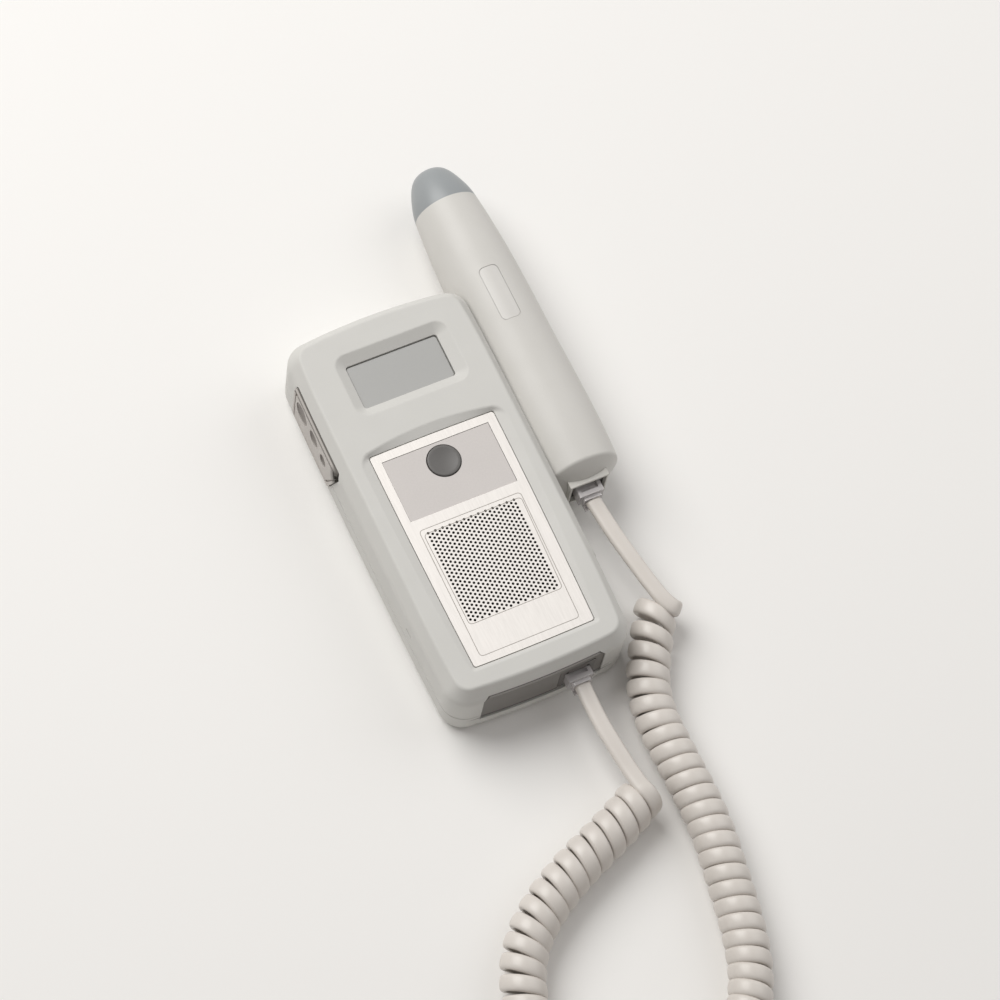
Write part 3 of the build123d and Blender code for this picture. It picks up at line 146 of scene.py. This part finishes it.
# the sky lights the floor softly, and is brighter where it is seen or mirrored
skyLook = {"ambientColour": "#FFFBF8", "seenColour": "#FFFFFF", "ambient": 0.3, "seen": 0.93}
world = bpy.data.worlds.new("sky")
scene.world = world
world.use_nodes = True
tree = world.node_tree
tree.nodes.clear()
ray = addNode(tree, "ShaderNodeLightPath")
cameraOrGloss = addNode(
    tree,
    "ShaderNodeMath",
    {"operation": "MAXIMUM"},
    {0: ray.outputs["Is Camera Ray"], 1: ray.outputs["Is Glossy Ray"]},
)
seenDirectly = addNode(
    tree,
    "ShaderNodeMath",
    {"operation": "MAXIMUM"},
    {0: cameraOrGloss.outputs[0], 1: ray.outputs["Is Transmission Ray"]},
)
strength = addNode(
    tree,
    "ShaderNodeMapRange",
    {"To Min": skyLook["ambient"], "To Max": skyLook["seen"]},
    {"Value": seenDirectly.outputs[0]},
)
skyTint = addNode(
    tree,
    "ShaderNodeMix",
    {
        "data_type": "RGBA",
        6: linearColour(skyLook["ambientColour"]),
        7: linearColour(skyLook["seenColour"]),
    },
    {0: seenDirectly.outputs[0]},
)
backdrop = addNode(
    tree,
    "ShaderNodeBackground",
    links={"Color": skyTint.outputs[2], "Strength": strength.outputs[0]},
)
addNode(tree, "ShaderNodeOutputWorld", links={"Surface": backdrop.outputs[0]})
print("floor and light set")


# moulded plastics and rubbers: a spark-eroded or satin mould leaves a fine grain, and the colour drifts a
# little from place to place; the real grain is about 0.1 mm and is drawn some five times coarser, so that
# it shows; sizes are in millimetres
mouldLook = {"ior": 1.53, "drift": 14.0, "fleck": 0.012, "fleckRange": (0.3, 0.7), "polishSpread": 0.05}


def mouldedPlastic(name, look):
    material, tree, surface, place = startMaterial(
        name, {"Roughness": look["roughness"], "IOR": mouldLook["ior"]}
    )
    drift = addNode(
        tree,
        "ShaderNodeTexNoise",
        {"Scale": 1 / (mouldLook["drift"] * mm), "Detail": 3.0, "Roughness": 0.5},
        {"Vector": place},
    )
    grain = addNode(
        tree,
        "ShaderNodeTexNoise",
        {"Scale": 1 / (look["grain"] * mm), "Detail": 2.0, "Roughness": 0.6},
        {"Vector": place},
    )
    tint = addNode(
        tree,
        "ShaderNodeMix",
        {"data_type": "RGBA", 6: linearColour(look["colour"]), 7: linearColour(look["shade"])},
        {0: drift.outputs[0]},
    )
    low, high = mouldLook["fleckRange"]
    fleck = look.get("fleck", mouldLook["fleck"])
    speckle = addNode(
        tree,
        "ShaderNodeMapRange",
        {"From Min": low, "From Max": high, "To Min": 1 - fleck, "To Max": 1.0},
        {"Value": grain.outputs[0]},
    )
    colour = addNode(
        tree,
        "ShaderNodeMix",
        {"data_type": "RGBA", "blend_type": "MULTIPLY", 0: 1.0},
        {6: tint.outputs[2], 7: speckle.outputs[0]},
    )
    # painted shade: darker patches where shade falls, each around a point and measured along its own axes
    for shadePatch in look.get("paintedShades", []):
        offset = addNode(
            tree,
            "ShaderNodeVectorMath",
            {"operation": "SUBTRACT", 1: tuple(value * mm for value in shadePatch["at"])},
            {0: place},
        )
        scaled = addNode(
            tree, "ShaderNodeVectorMath", {"operation": "MULTIPLY", 1: shadePatch["axes"]}, {0: offset.outputs[0]}
        )
        away = addNode(tree, "ShaderNodeVectorMath", {"operation": "LENGTH"}, {0: scaled.outputs[0]})
        near, far = shadePatch["reach"]
        darkness = addNode(
            tree,
            "ShaderNodeMapRange",
            {"From Min": near * mm, "From Max": far * mm, "To Min": 1.0, "To Max": 0.0},
            {"Value": away.outputs["Value"]},
        )
        colour = addNode(
            tree,
            "ShaderNodeMix",
            {"data_type": "RGBA", 7: linearColour(shadePatch["colour"])},
            {0: darkness.outputs[0], 6: colour.outputs[2]},
        )
    polish = addNode(
        tree,
        "ShaderNodeMapRange",
        {
            "To Min": look["roughness"] - mouldLook["polishSpread"],
            "To Max": look["roughness"] + mouldLook["polishSpread"],
        },
        {"Value": drift.outputs[0]},
    )
    relief = addNode(
        tree,
        "ShaderNodeBump",
        {"Strength": 1.0, "Distance": look["depth"] * mm},
        {"Height": grain.outputs[0]},
    )
    tree.links.new(colour.outputs[2], surface.inputs["Base Color"])
    tree.links.new(polish.outputs[0], surface.inputs["Roughness"])
    tree.links.new(relief.outputs[0], surface.inputs["Normal"])
    return material


plasticLooks = {
    # ABS shells with a fine spark-eroded texture: matt, cool light grey, with painted shade behind the end
    # lip
    "case_plastic": {
        "colour": "#CECDC9",
        "shade": "#C9C8C4",
        "roughness": 0.55,
        "grain": 0.5,
        "depth": 0.006,
        "paintedShades": [
            {"at": (-13.1, -99.6, 9.0), "axes": (0.031, 0.2, 1), "reach": (0.7, 0.9), "colour": "#2B2621"},
        ],
    },
    # the probe's ABS is a little warmer and smoother, so that it takes a soft broad highlight
    "probe_plastic": {
        "colour": "#CFCDC9",
        "shade": "#CAC8C3",
        "roughness": 0.48,
        "grain": 0.5,
        "depth": 0.005,
    },
    # the tail cap is the probe's own plastic, painted one shade paler: painted light on its end face, which
    # faces away from the lamps
    "probe_tail_plastic": {
        "colour": "#D6D4CE",
        "shade": "#D0CEC8",
        "roughness": 0.5,
        "grain": 0.5,
        "depth": 0.005,
    },
    # polyurethane nose from a polished mould: satin bluish grey
    "tip_plastic": {
        "colour": "#94989A",
        "shade": "#8E9294",
        "roughness": 0.38,
        "grain": 0.8,
        "depth": 0.004,
    },
    # smooth dark ABS insert, with painted shade in the narrow gap above the lip
    "end_plastic": {
        "colour": "#75716D",
        "shade": "#6D6965",
        "roughness": 0.32,
        "grain": 0.6,
        "depth": 0.004,
        "paintedShades": [{"at": (0, 0, 8.9), "axes": (0, 0, 1), "reach": (0.35, 1.1), "colour": "#211D1A"}],
    },
    # glass-filled nylon of the jacks: grey in the unit's; the probe's is painted nearly black, as painted
    # shade in its deep mouth
    "jack_plastic_painted_shade": {
        "colour": "#242220",
        "shade": "#1E1C1A",
        "roughness": 0.35,
        "grain": 0.6,
        "depth": 0.004,
    },
    "jack_plastic": {
        "colour": "#635F5C",
        "shade": "#5B5754",
        "roughness": 0.35,
        "grain": 0.6,
        "depth": 0.004,
    },
    # silicone rubber surround: dull and warm, with painted shade in its finger scoop, in its groove and
    # along its upper edge
    "keypad_rubber": {
        "colour": "#BFBAB5",
        "shade": "#B6B1AC",
        "roughness": 0.5,
        "grain": 0.5,
        "depth": 0.006,
        "paintedShades": [
            {"at": (-49.6, -3.4, 23.4), "axes": (1, 1, 0.6), "reach": (2.2, 5.6), "colour": "#45413B"},
            {"at": (0, 0, 24.5), "axes": (0, 0, 1), "reach": (0.2, 0.4), "colour": "#4A4641"},
            {"at": (0, 0, 26.1), "axes": (0, 0, 1), "reach": (0.1, 0.35), "colour": "#5E5A54"},
        ],
    },
    # silicone rubber keys and button: darker, with a soft satin sheen from handling
    "key_rubber": {
        "colour": "#827C77",
        "shade": "#7A746F",
        "roughness": 0.45,
        "grain": 0.4,
        "depth": 0.006,
    },
    "button_rubber": {
        "colour": "#5C5A58",
        "shade": "#565452",
        "roughness": 0.42,
        "grain": 0.4,
        "depth": 0.006,
    },
    # polyester label film on the probe: even and slightly brighter than the barrel
    "probe_label_film": {
        "colour": "#D2D0CC",
        "shade": "#CDCBC7",
        "roughness": 0.4,
        "grain": 0.6,
        "depth": 0.003,
    },
    # hard-coated acrylic lens over a sleeping liquid crystal display: flat neutral grey
    "window_lens": {
        "colour": "#ABABA9",
        "shade": "#A8A8A6",
        "roughness": 0.3,
        "grain": 0.6,
        "depth": 0.001,
    },
    # black ABS carrier of the display: a dull charcoal edge around the glass
    "display_body": {
        "colour": "#3A3C3B",
        "shade": "#343635",
        "roughness": 0.45,
        "grain": 0.5,
        "depth": 0.004,
    },
    # screen-printed polyester label: warm grey with a fine visible speckle
    "panel_film": {
        "colour": "#CFCAC7",
        "shade": "#CAC5C2",
        "roughness": 0.45,
        "grain": 0.6,
        "depth": 0.003,
        "fleck": 0.05,
    },
    # extruded PVC jacket: the smoothest of the plastics, pale and warm, with a long soft highlight
    "cord_jacket": {
        "colour": "#D8D2CC",
        "shade": "#D1CBC4",
        "roughness": 0.34,
        "grain": 0.7,
        "depth": 0.006,
    },
    # epoxy of the chips and black vinyl of the battery snap: dull, nearly black
    "component_black": {
        "colour": "#262626",
        "shade": "#1F1F1F",
        "roughness": 0.5,
        "grain": 0.3,
        "depth": 0.004,
    },
    "snap_plastic": {
        "colour": "#1E1D1C",
        "shade": "#191817",
        "roughness": 0.5,
        "grain": 0.4,
        "depth": 0.006,
    },
    # natural nylon carrier and fired ceramic crystals: cream and tan
    "holder_plastic": {
        "colour": "#E3DFD5",
        "shade": "#DAD6CC",
        "roughness": 0.4,
        "grain": 0.5,
        "depth": 0.004,
    },
    "crystal_ceramic": {
        "colour": "#C9A77E",
        "shade": "#BF9C73",
        "roughness": 0.5,
        "grain": 0.15,
        "depth": 0.003,
    },
    # open black foam and cloth: they swallow the light behind the perforated field
    "gasket_foam": {
        "colour": "#0D0D0D",
        "shade": "#0A0A0A",
        "roughness": 0.9,
        "grain": 0.5,
        "depth": 0.05,
    },
    # green solder mask over glass epoxy: deep green with a soft gloss
    "board_laminate": {
        "colour": "#1F6B3C",
        "shade": "#1B6136",
        "roughness": 0.35,
        "grain": 0.8,
        "depth": 0.004,
    },
}
finishes = {name: mouldedPlastic(name, look) for name, look in plasticLooks.items()}


# polycarbonate of the plugs: clear with a faint grey cast, slightly wavy where the mould was less polished
def clearPlastic(name, look):
    material, tree, surface, place = startMaterial(
        name,
        {
            "Base Color": linearColour(look["colour"]),
            "Roughness": look["roughness"],
            "IOR": look["ior"],
            "Transmission Weight": look["clearness"],
        },
    )
    waves = addNode(
        tree, "ShaderNodeTexNoise", {"Scale": 1 / (look["grain"] * mm), "Detail": 2.0}, {"Vector": place}
    )
    relief = addNode(
        tree,
        "ShaderNodeBump",
        {"Strength": 1.0, "Distance": look["depth"] * mm},
        {"Height": waves.outputs[0]},
    )
    haze = addNode(
        tree,
        "ShaderNodeMapRange",
        {"To Min": look["roughness"], "To Max": look["roughness"] + look["haze"]},
        {"Value": waves.outputs[0]},
    )
    tree.links.new(relief.outputs[0], surface.inputs["Normal"])
    tree.links.new(haze.outputs[0], surface.inputs["Roughness"])
    return material


plugLook = {
    "colour": "#E6E2E2",
    "roughness": 0.08,
    "haze": 0.1,
    "clearness": 0.36,
    "ior": 1.585,
    "grain": 2.5,
    "depth": 0.02,
}
finishes["plug_plastic"] = clearPlastic("plug_plastic", plugLook)


# metals: the brushing runs along one axis, so the noise is stretched along it; real brush marks are about
# 0.1 mm apart and are drawn two to five times coarser, so that they show
def brushedMetal(name, look):
    material, tree, surface, place = startMaterial(name, {"Metallic": 1.0, "Roughness": look["roughness"]})
    stretch = addNode(
        tree,
        "ShaderNodeMapping",
        {"Scale": look["stretch"]},
        {"Vector": place},
    )
    lines = addNode(
        tree,
        "ShaderNodeTexNoise",
        {"Scale": 1 / (look["grain"] * mm), "Detail": 3.0, "Roughness": 0.6},
        {"Vector": stretch.outputs[0]},
    )
    tint = addNode(
        tree,
        "ShaderNodeMix",
        {"data_type": "RGBA", 6: linearColour(look["shade"]), 7: linearColour(look["colour"])},
        {0: lines.outputs[0]},
    )
    polish = addNode(
        tree,
        "ShaderNodeMapRange",
        {
            "To Min": look["roughness"] - look["polishSpread"],
            "To Max": look["roughness"] + look["polishSpread"],
        },
        {"Value": lines.outputs[0]},
    )
    relief = addNode(
        tree,
        "ShaderNodeBump",
        {"Strength": 1.0, "Distance": look["depth"] * mm},
        {"Height": lines.outputs[0]},
    )
    tree.links.new(tint.outputs[2], surface.inputs["Base Color"])
    tree.links.new(polish.outputs[0], surface.inputs["Roughness"])
    tree.links.new(relief.outputs[0], surface.inputs["Normal"])
    return material


metalLooks = {
    # aluminium sheet, brushed along its length and lacquered: bright, with fine long streaks
    "plate_metal": {
        "colour": "#CBC7C3",
        "shade": "#B6B2AE",
        "roughness": 0.5,
        "polishSpread": 0.08,
        "grain": 0.35,
        "stretch": (1, 0.05, 1),
        "depth": 0.001,
    },
    # tinned steel basket of the loudspeaker: pale and even
    "speaker_metal": {
        "colour": "#B9BABB",
        "shade": "#A6A7A8",
        "roughness": 0.35,
        "polishSpread": 0.08,
        "grain": 0.6,
        "stretch": (1, 1, 1),
        "depth": 0.002,
    },
    # drawn steel can of the battery: darker, with faint marks along the draw
    "battery_can": {
        "colour": "#8D8F93",
        "shade": "#7F8185",
        "roughness": 0.3,
        "polishSpread": 0.08,
        "grain": 0.5,
        "stretch": (1, 0.1, 1),
        "depth": 0.001,
    },
    # zinc-plated steel of the screws: pale with small bright specks
    "screw_steel": {
        "colour": "#B4B4B2",
        "shade": "#9C9C9A",
        "roughness": 0.3,
        "polishSpread": 0.08,
        "grain": 0.2,
        "stretch": (1, 1, 1),
        "depth": 0.002,
    },
}
finishes.update({name: brushedMetal(name, look) for name, look in metalLooks.items()})

finishNodes = {
    "case_plastic": ["front_case", "rear_case", "battery_door"],
    "probe_plastic": ["probe_barrel"],
    "probe_tail_plastic": ["probe_tail"],
    "tip_plastic": ["probe_tip"],
    "probe_label_film": ["probe_label"],
    "plate_metal": ["faceplate"],
    "panel_film": ["button_panel"],
    "button_rubber": ["power_button"],
    "window_lens": ["display_window"],
    "display_body": ["display_module"],
    "keypad_rubber": ["keypad_bezel"],
    "key_rubber": ["key_up", "key_mid", "key_down"],
    "end_plastic": ["end_panel"],
    "jack_plastic": ["unit_jack"],
    "jack_plastic_painted_shade": ["probe_jack"],
    "plug_plastic": ["unit_plug", "probe_plug"],
    "board_laminate": ["main_board", "jack_board", "key_board", "probe_board"],
    "component_black": ["board_parts", "power_switch"],
    "speaker_metal": ["speaker"],
    "gasket_foam": ["speaker_gasket", "grille_foam"],
    "battery_can": ["battery"],
    "snap_plastic": ["battery_snap"],
    "screw_steel": ["case_screws"],
    "holder_plastic": ["crystal_holder"],
    "crystal_ceramic": ["crystals"],
}
for finishName, names in finishNodes.items():
    for name in names:
        nodes[name].data.materials.clear()
        nodes[name].data.materials.append(finishes[finishName])
print("nodes painted")


# joins rings of points into one skin: looped rings close on themselves, others get a face at each end
def skinMesh(name, rings, looped):
    mesh = bmesh.new()
    rings = [[mesh.verts.new(spot) for spot in ring] for ring in rings]
    nextRings = rings[1:] + rings[:1] if looped else rings[1:]
    for ring, nextRing in zip(rings, nextRings):
        for side in range(len(ring)):
            after = (side + 1) % len(ring)
            mesh.faces.new((ring[side], ring[after], nextRing[after], nextRing[side]))
    if not looped:
        mesh.faces.new(rings[0])
        mesh.faces.new(reversed(rings[-1]))
    bmesh.ops.recalc_face_normals(mesh, faces=mesh.faces)
    data = bpy.data.meshes.new(name)
    mesh.to_mesh(data)
    mesh.free()
    return data


# fine engraved frame lines on the faceplate, filled with dull ink, in millimetres: one around the field and
# the bare band below it, one close to the field
lineLook = {
    "width": 0.22,
    "height": 0.03,
    "sink": 0.02,
    "corner": 1.6,
    "steps": 8,
    "ink": {"colour": "#8F8981", "shade": "#857F77", "roughness": 0.5, "grain": 0.5, "depth": 0.001},
    "outlines": {
        "frame_line": [(-31.85, -85.65), (6.25, -85.65), (7.3, -34.65), (-32.0, -34.65)],
        "field_line": [(-30.35, -73.5), (5.45, -73.5), (6.75, -36.5), (-30.95, -36.5)],
    },
}


def roundedPath(corners, radius, steps):
    points = []
    for index, corner in enumerate(corners):
        here = Vector(corner)
        towardBefore = (Vector(corners[index - 1]) - here).normalized()
        towardAfter = (Vector(corners[(index + 1) % len(corners)]) - here).normalized()
        reach = radius / math.tan(towardBefore.angle(towardAfter) / 2)
        start, end = here + towardBefore * reach, here + towardAfter * reach
        for step in range(steps + 1):
            share = step / steps
            points.append(start.lerp(here, share).lerp(here.lerp(end, share), share))
    return points


def lineRings(points, look, top):
    low = top - look["sink"] * mm
    high = top + (look["height"] - look["sink"]) * mm
    rings = []
    for index, point in enumerate(points):
        along = (points[(index + 1) % len(points)] - points[index - 1]).normalized()
        across = Vector((-along.y, along.x)) * look["width"] / 2
        left, right = (point + across) * mm, (point - across) * mm
        corners = [(left, low), (right, low), (right, high), (left, high)]
        rings.append([(spot.x, spot.y, height) for spot, height in corners])
    return rings


lineInk = mouldedPlastic("plate_line", lineLook["ink"])
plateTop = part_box("faceplate")[1][2]
for lineName, corners in lineLook["outlines"].items():
    points = roundedPath(corners, lineLook["corner"], lineLook["steps"])
    data = skinMesh(lineName, lineRings(points, lineLook, plateTop), looped=True)
    data.materials.append(lineInk)
    line = bpy.data.objects.new(lineName, data)
    scene.collection.objects.link(line)
    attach(line, "unit")
print("plate lines laid")


# curly cord: flat jacket wound on edge into a left-handed coil between two straight leads, in millimetres
cordLook = {
    "width": 5.9,
    "thickness": 3.1,
    "squareness": 2.7,
    "sides": 20,
    "spacing": 0.9,
    "axisSpacing": 0.1,
    "curveSteps": 24,
    "curveOrder": 3,
    # by share of the coil: its pitch, its radius and how far its turns lean, in degrees
    "pitches": [
        (0.0, 5.6), (0.012, 6.2), (0.03, 6.7), (0.33, 6.6), (0.52, 6.2),
        (0.8, 5.95), (0.9, 6.1), (0.94, 7.1), (0.97, 7.7), (1.0, 8.9),
    ],
    "radii": [(0.0, 6.7), (0.05, 6.7), (0.14, 6.85), (0.3, 6.35), (1.0, 6.35)],
    "leans": [(0.0, -9.0), (0.2, -6.0), (0.3, 0.0), (0.93, 0.0), (0.97, -6.0), (1.0, -18.0)],
    # the pitch drifts from turn to turn, less near the coil's ends
    "seed": 7,
    "drifts": 90,
    "pitchDrift": 0.035,
    "calmEnds": 0.08,
    # the last turn stops short of a full one, and the jacket untwists over this many steps
    "lastTurn": 0.75,
    "untwist": 11,
    "length": 2450.0,
}
unitLeadRoute = [
    (0.25, -104.25, 14.6),
    (-0.14, -117.46, 14.6),
    (1.15, -130.45, 14.3),
    (2.2, -140.0, 14.1),
    (3.3, -147.0, 14.75),
]
coilRoute = [
    (3.6, -147.3, 7.9),
    (1.2, -149.2, 7.9),
    (-12.3, -155.4, 7.9),
    (-28.2, -161.6, 7.9),
    (-42.4, -168.7, 7.9),
    (-55.5, -178.4, 7.9),
    (-63.3, -190.6, 7.9),
    (-66.9, -204.6, 7.9),
    (-69.7, -220.6, 7.9),
    (-67.7, -236.1, 7.9),
    (-58.7, -249.6, 7.9),
    (-44.2, -257.6, 7.9),
    (-27.2, -257.9, 7.9),
    (-11.9, -250.1, 7.9),
    (-0.5, -236.9, 7.9),
    (10.1, -220.6, 7.9),
    (15.1, -203.1, 7.9),
    (17.9, -185.6, 7.9),
    (21.1, -166.1, 7.9),
    (20.9, -143.6, 7.9),
    (20.3, -119.6, 7.9),
    (27.6, -102.4, 7.9),
    (40.4, -84.6, 7.9),
]
probeLeadRoute = [
    (45.2, -90.6, 11.0),
    (43.6, -91.4, 14.2),
    (40.9, -86.9, 15.0),
    (39.18, -79.54, 15.1),
    (36.98, -67.43, 15.5),
    (35.0, -55.61, 15.8),
    (33.85, -42.75, 16.0),
]


def splinePoints(name, route):
    curve = bpy.data.curves.new(name, "CURVE")
    curve.dimensions = "3D"
    curve.resolution_u = cordLook["curveSteps"]
    spline = curve.splines.new("NURBS")
    spline.points.add(len(route) - 1)
    for point, corner in zip(spline.points, route):
        point.co = (*[value * mm for value in corner], 1.0)
    spline.order_u = cordLook["curveOrder"]
    spline.use_endpoint_u = True
    guide = bpy.data.objects.new(name, curve)
    scene.collection.objects.link(guide)
    bpy.context.view_layer.update()
    line = bpy.data.meshes.new_from_object(guide)
    points = [vertex.co.copy() for vertex in line.vertices]
    bpy.data.objects.remove(guide)
    bpy.data.meshes.remove(line)
    return points


def evenPoints(points, spacing):
    reached = [0.0]
    for before, after in zip(points, points[1:]):
        reached.append(reached[-1] + (after - before).length)
    count = max(2, round(reached[-1] / spacing))
    spread = []
    index = 0
    for step in range(count + 1):
        target = reached[-1] * step / count
        while index < len(points) - 2 and reached[index + 1] < target:
            index += 1
        run = reached[index + 1] - reached[index]
        share = 0.0 if run == 0 else (target - reached[index]) / run
        spread.append(points[index].lerp(points[index + 1], share))
    return spread


def directionAt(points, index):
    before = points[max(index - 1, 0)]
    after = points[min(index + 1, len(points) - 1)]
    return (after - before).normalized()


def valueAt(table, share):
    for (start, low), (end, high) in zip(table, table[1:]):
        if share <= end:
            return low + (high - low) * (share - start) / (end - start)
    return table[-1][1]


# the coil's angle at each point of its axis, wound up to a whole number of turns and the last one
def coilAngles(axis, look):
    random.seed(look["seed"])
    drifts = [random.uniform(-1, 1) for _ in range(look["drifts"])]
    angles = [0.0]
    for index in range(1, len(axis)):
        turns = angles[-1] / (2 * math.pi)
        whole = int(turns)
        drift = drifts[whole] + (drifts[whole + 1] - drifts[whole]) * (turns - whole)
        share = index / len(axis)
        drift *= look["pitchDrift"] * min(1.0, share / look["calmEnds"], (1 - share) / look["calmEnds"])
        pitch = valueAt(look["pitches"], share) * mm * (1 + drift)
        angles.append(angles[-1] + 2 * math.pi * (axis[index] - axis[index - 1]).length / pitch)
    wanted = (round(angles[-1] / (2 * math.pi) - look["lastTurn"]) + look["lastTurn"]) * 2 * math.pi
    return [angle * wanted / angles[-1] for angle in angles]


# points along the coiled jacket, each with the way its broad outer face looks
def coilStrand(axis, angles, look):
    strand = []
    nextAngle = 0.0
    for index, angle in enumerate(angles):
        if angle < nextAngle and index < len(angles) - 1:
            continue
        share = index / len(axis)
        radius = valueAt(look["radii"], share)
        nextAngle = angle + look["spacing"] / radius
        lean = Matrix.Rotation(math.radians(valueAt(look["leans"], share)), 3, "Z")
        side = lean @ up.cross(directionAt(axis, index)).normalized()
        out = up * math.cos(angle) + side * math.sin(angle)
        middle = axis[index].copy()
        middle.z = (radius + look["thickness"] / 2) * mm
        strand.append((middle + out * radius * mm, out))
    return strand


# rings of the jacket's section, a flat shape with round edges, squared up by its squareness
def jacketRings(strand, look):
    power = 2 / look["squareness"]
    path = [point for point, _ in strand]
    rings = []
    for index, (point, out) in enumerate(strand):
        along = directionAt(path, index)
        across = along.cross(out).normalized()
        out = across.cross(along).normalized()
        ring = []
        for corner in range(look["sides"]):
            angle = 2 * math.pi * corner / look["sides"]
            wide, thin = math.cos(angle), math.sin(angle)
            wide = math.copysign(abs(wide) ** power, wide) * look["width"] / 2 * mm
            thin = math.copysign(abs(thin) ** power, thin) * look["thickness"] / 2 * mm
            ring.append(point + across * wide + out * thin)
        rings.append(ring)
    return rings


lead = evenPoints(splinePoints("unit_lead_line", unitLeadRoute), cordLook["spacing"] * mm)
strand = [(point, up) for point in lead[:-1]]
axis = evenPoints(splinePoints("coil_line", coilRoute), cordLook["axisSpacing"] * mm)
angles = coilAngles(axis, cordLook)
strand += coilStrand(axis, angles, cordLook)
lastPoint, lastOut = strand[-1]
probeLine = splinePoints("probe_lead_line", [tuple(lastPoint / mm)] + probeLeadRoute)
lead = evenPoints(probeLine, cordLook["spacing"] * mm)
for index, point in enumerate(lead[1:]):
    share = min(1.0, index / cordLook["untwist"])
    share = share * share * (3 - 2 * share)
    strand.append((point, lastOut.slerp(up, share)))

path = [point for point, _ in strand]
cordLength = sum((after - before).length for before, after in zip(path, path[1:]))
print("cord:", round(angles[-1] / (2 * math.pi), 2), "turns,", round(cordLength, 3), "m")
cordMesh = skinMesh("curly_cord", jacketRings(strand, cordLook), looped=False)
cordMesh.shade_smooth()
curlyCord = bpy.data.objects.new("curly_cord", cordMesh)
scene.collection.objects.link(curlyCord)
cordMesh.materials.append(finishes["cord_jacket"])
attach(curlyCord, "unit")
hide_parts("unit_lead", "coil_cord", "probe_lead")
print("cord wound")
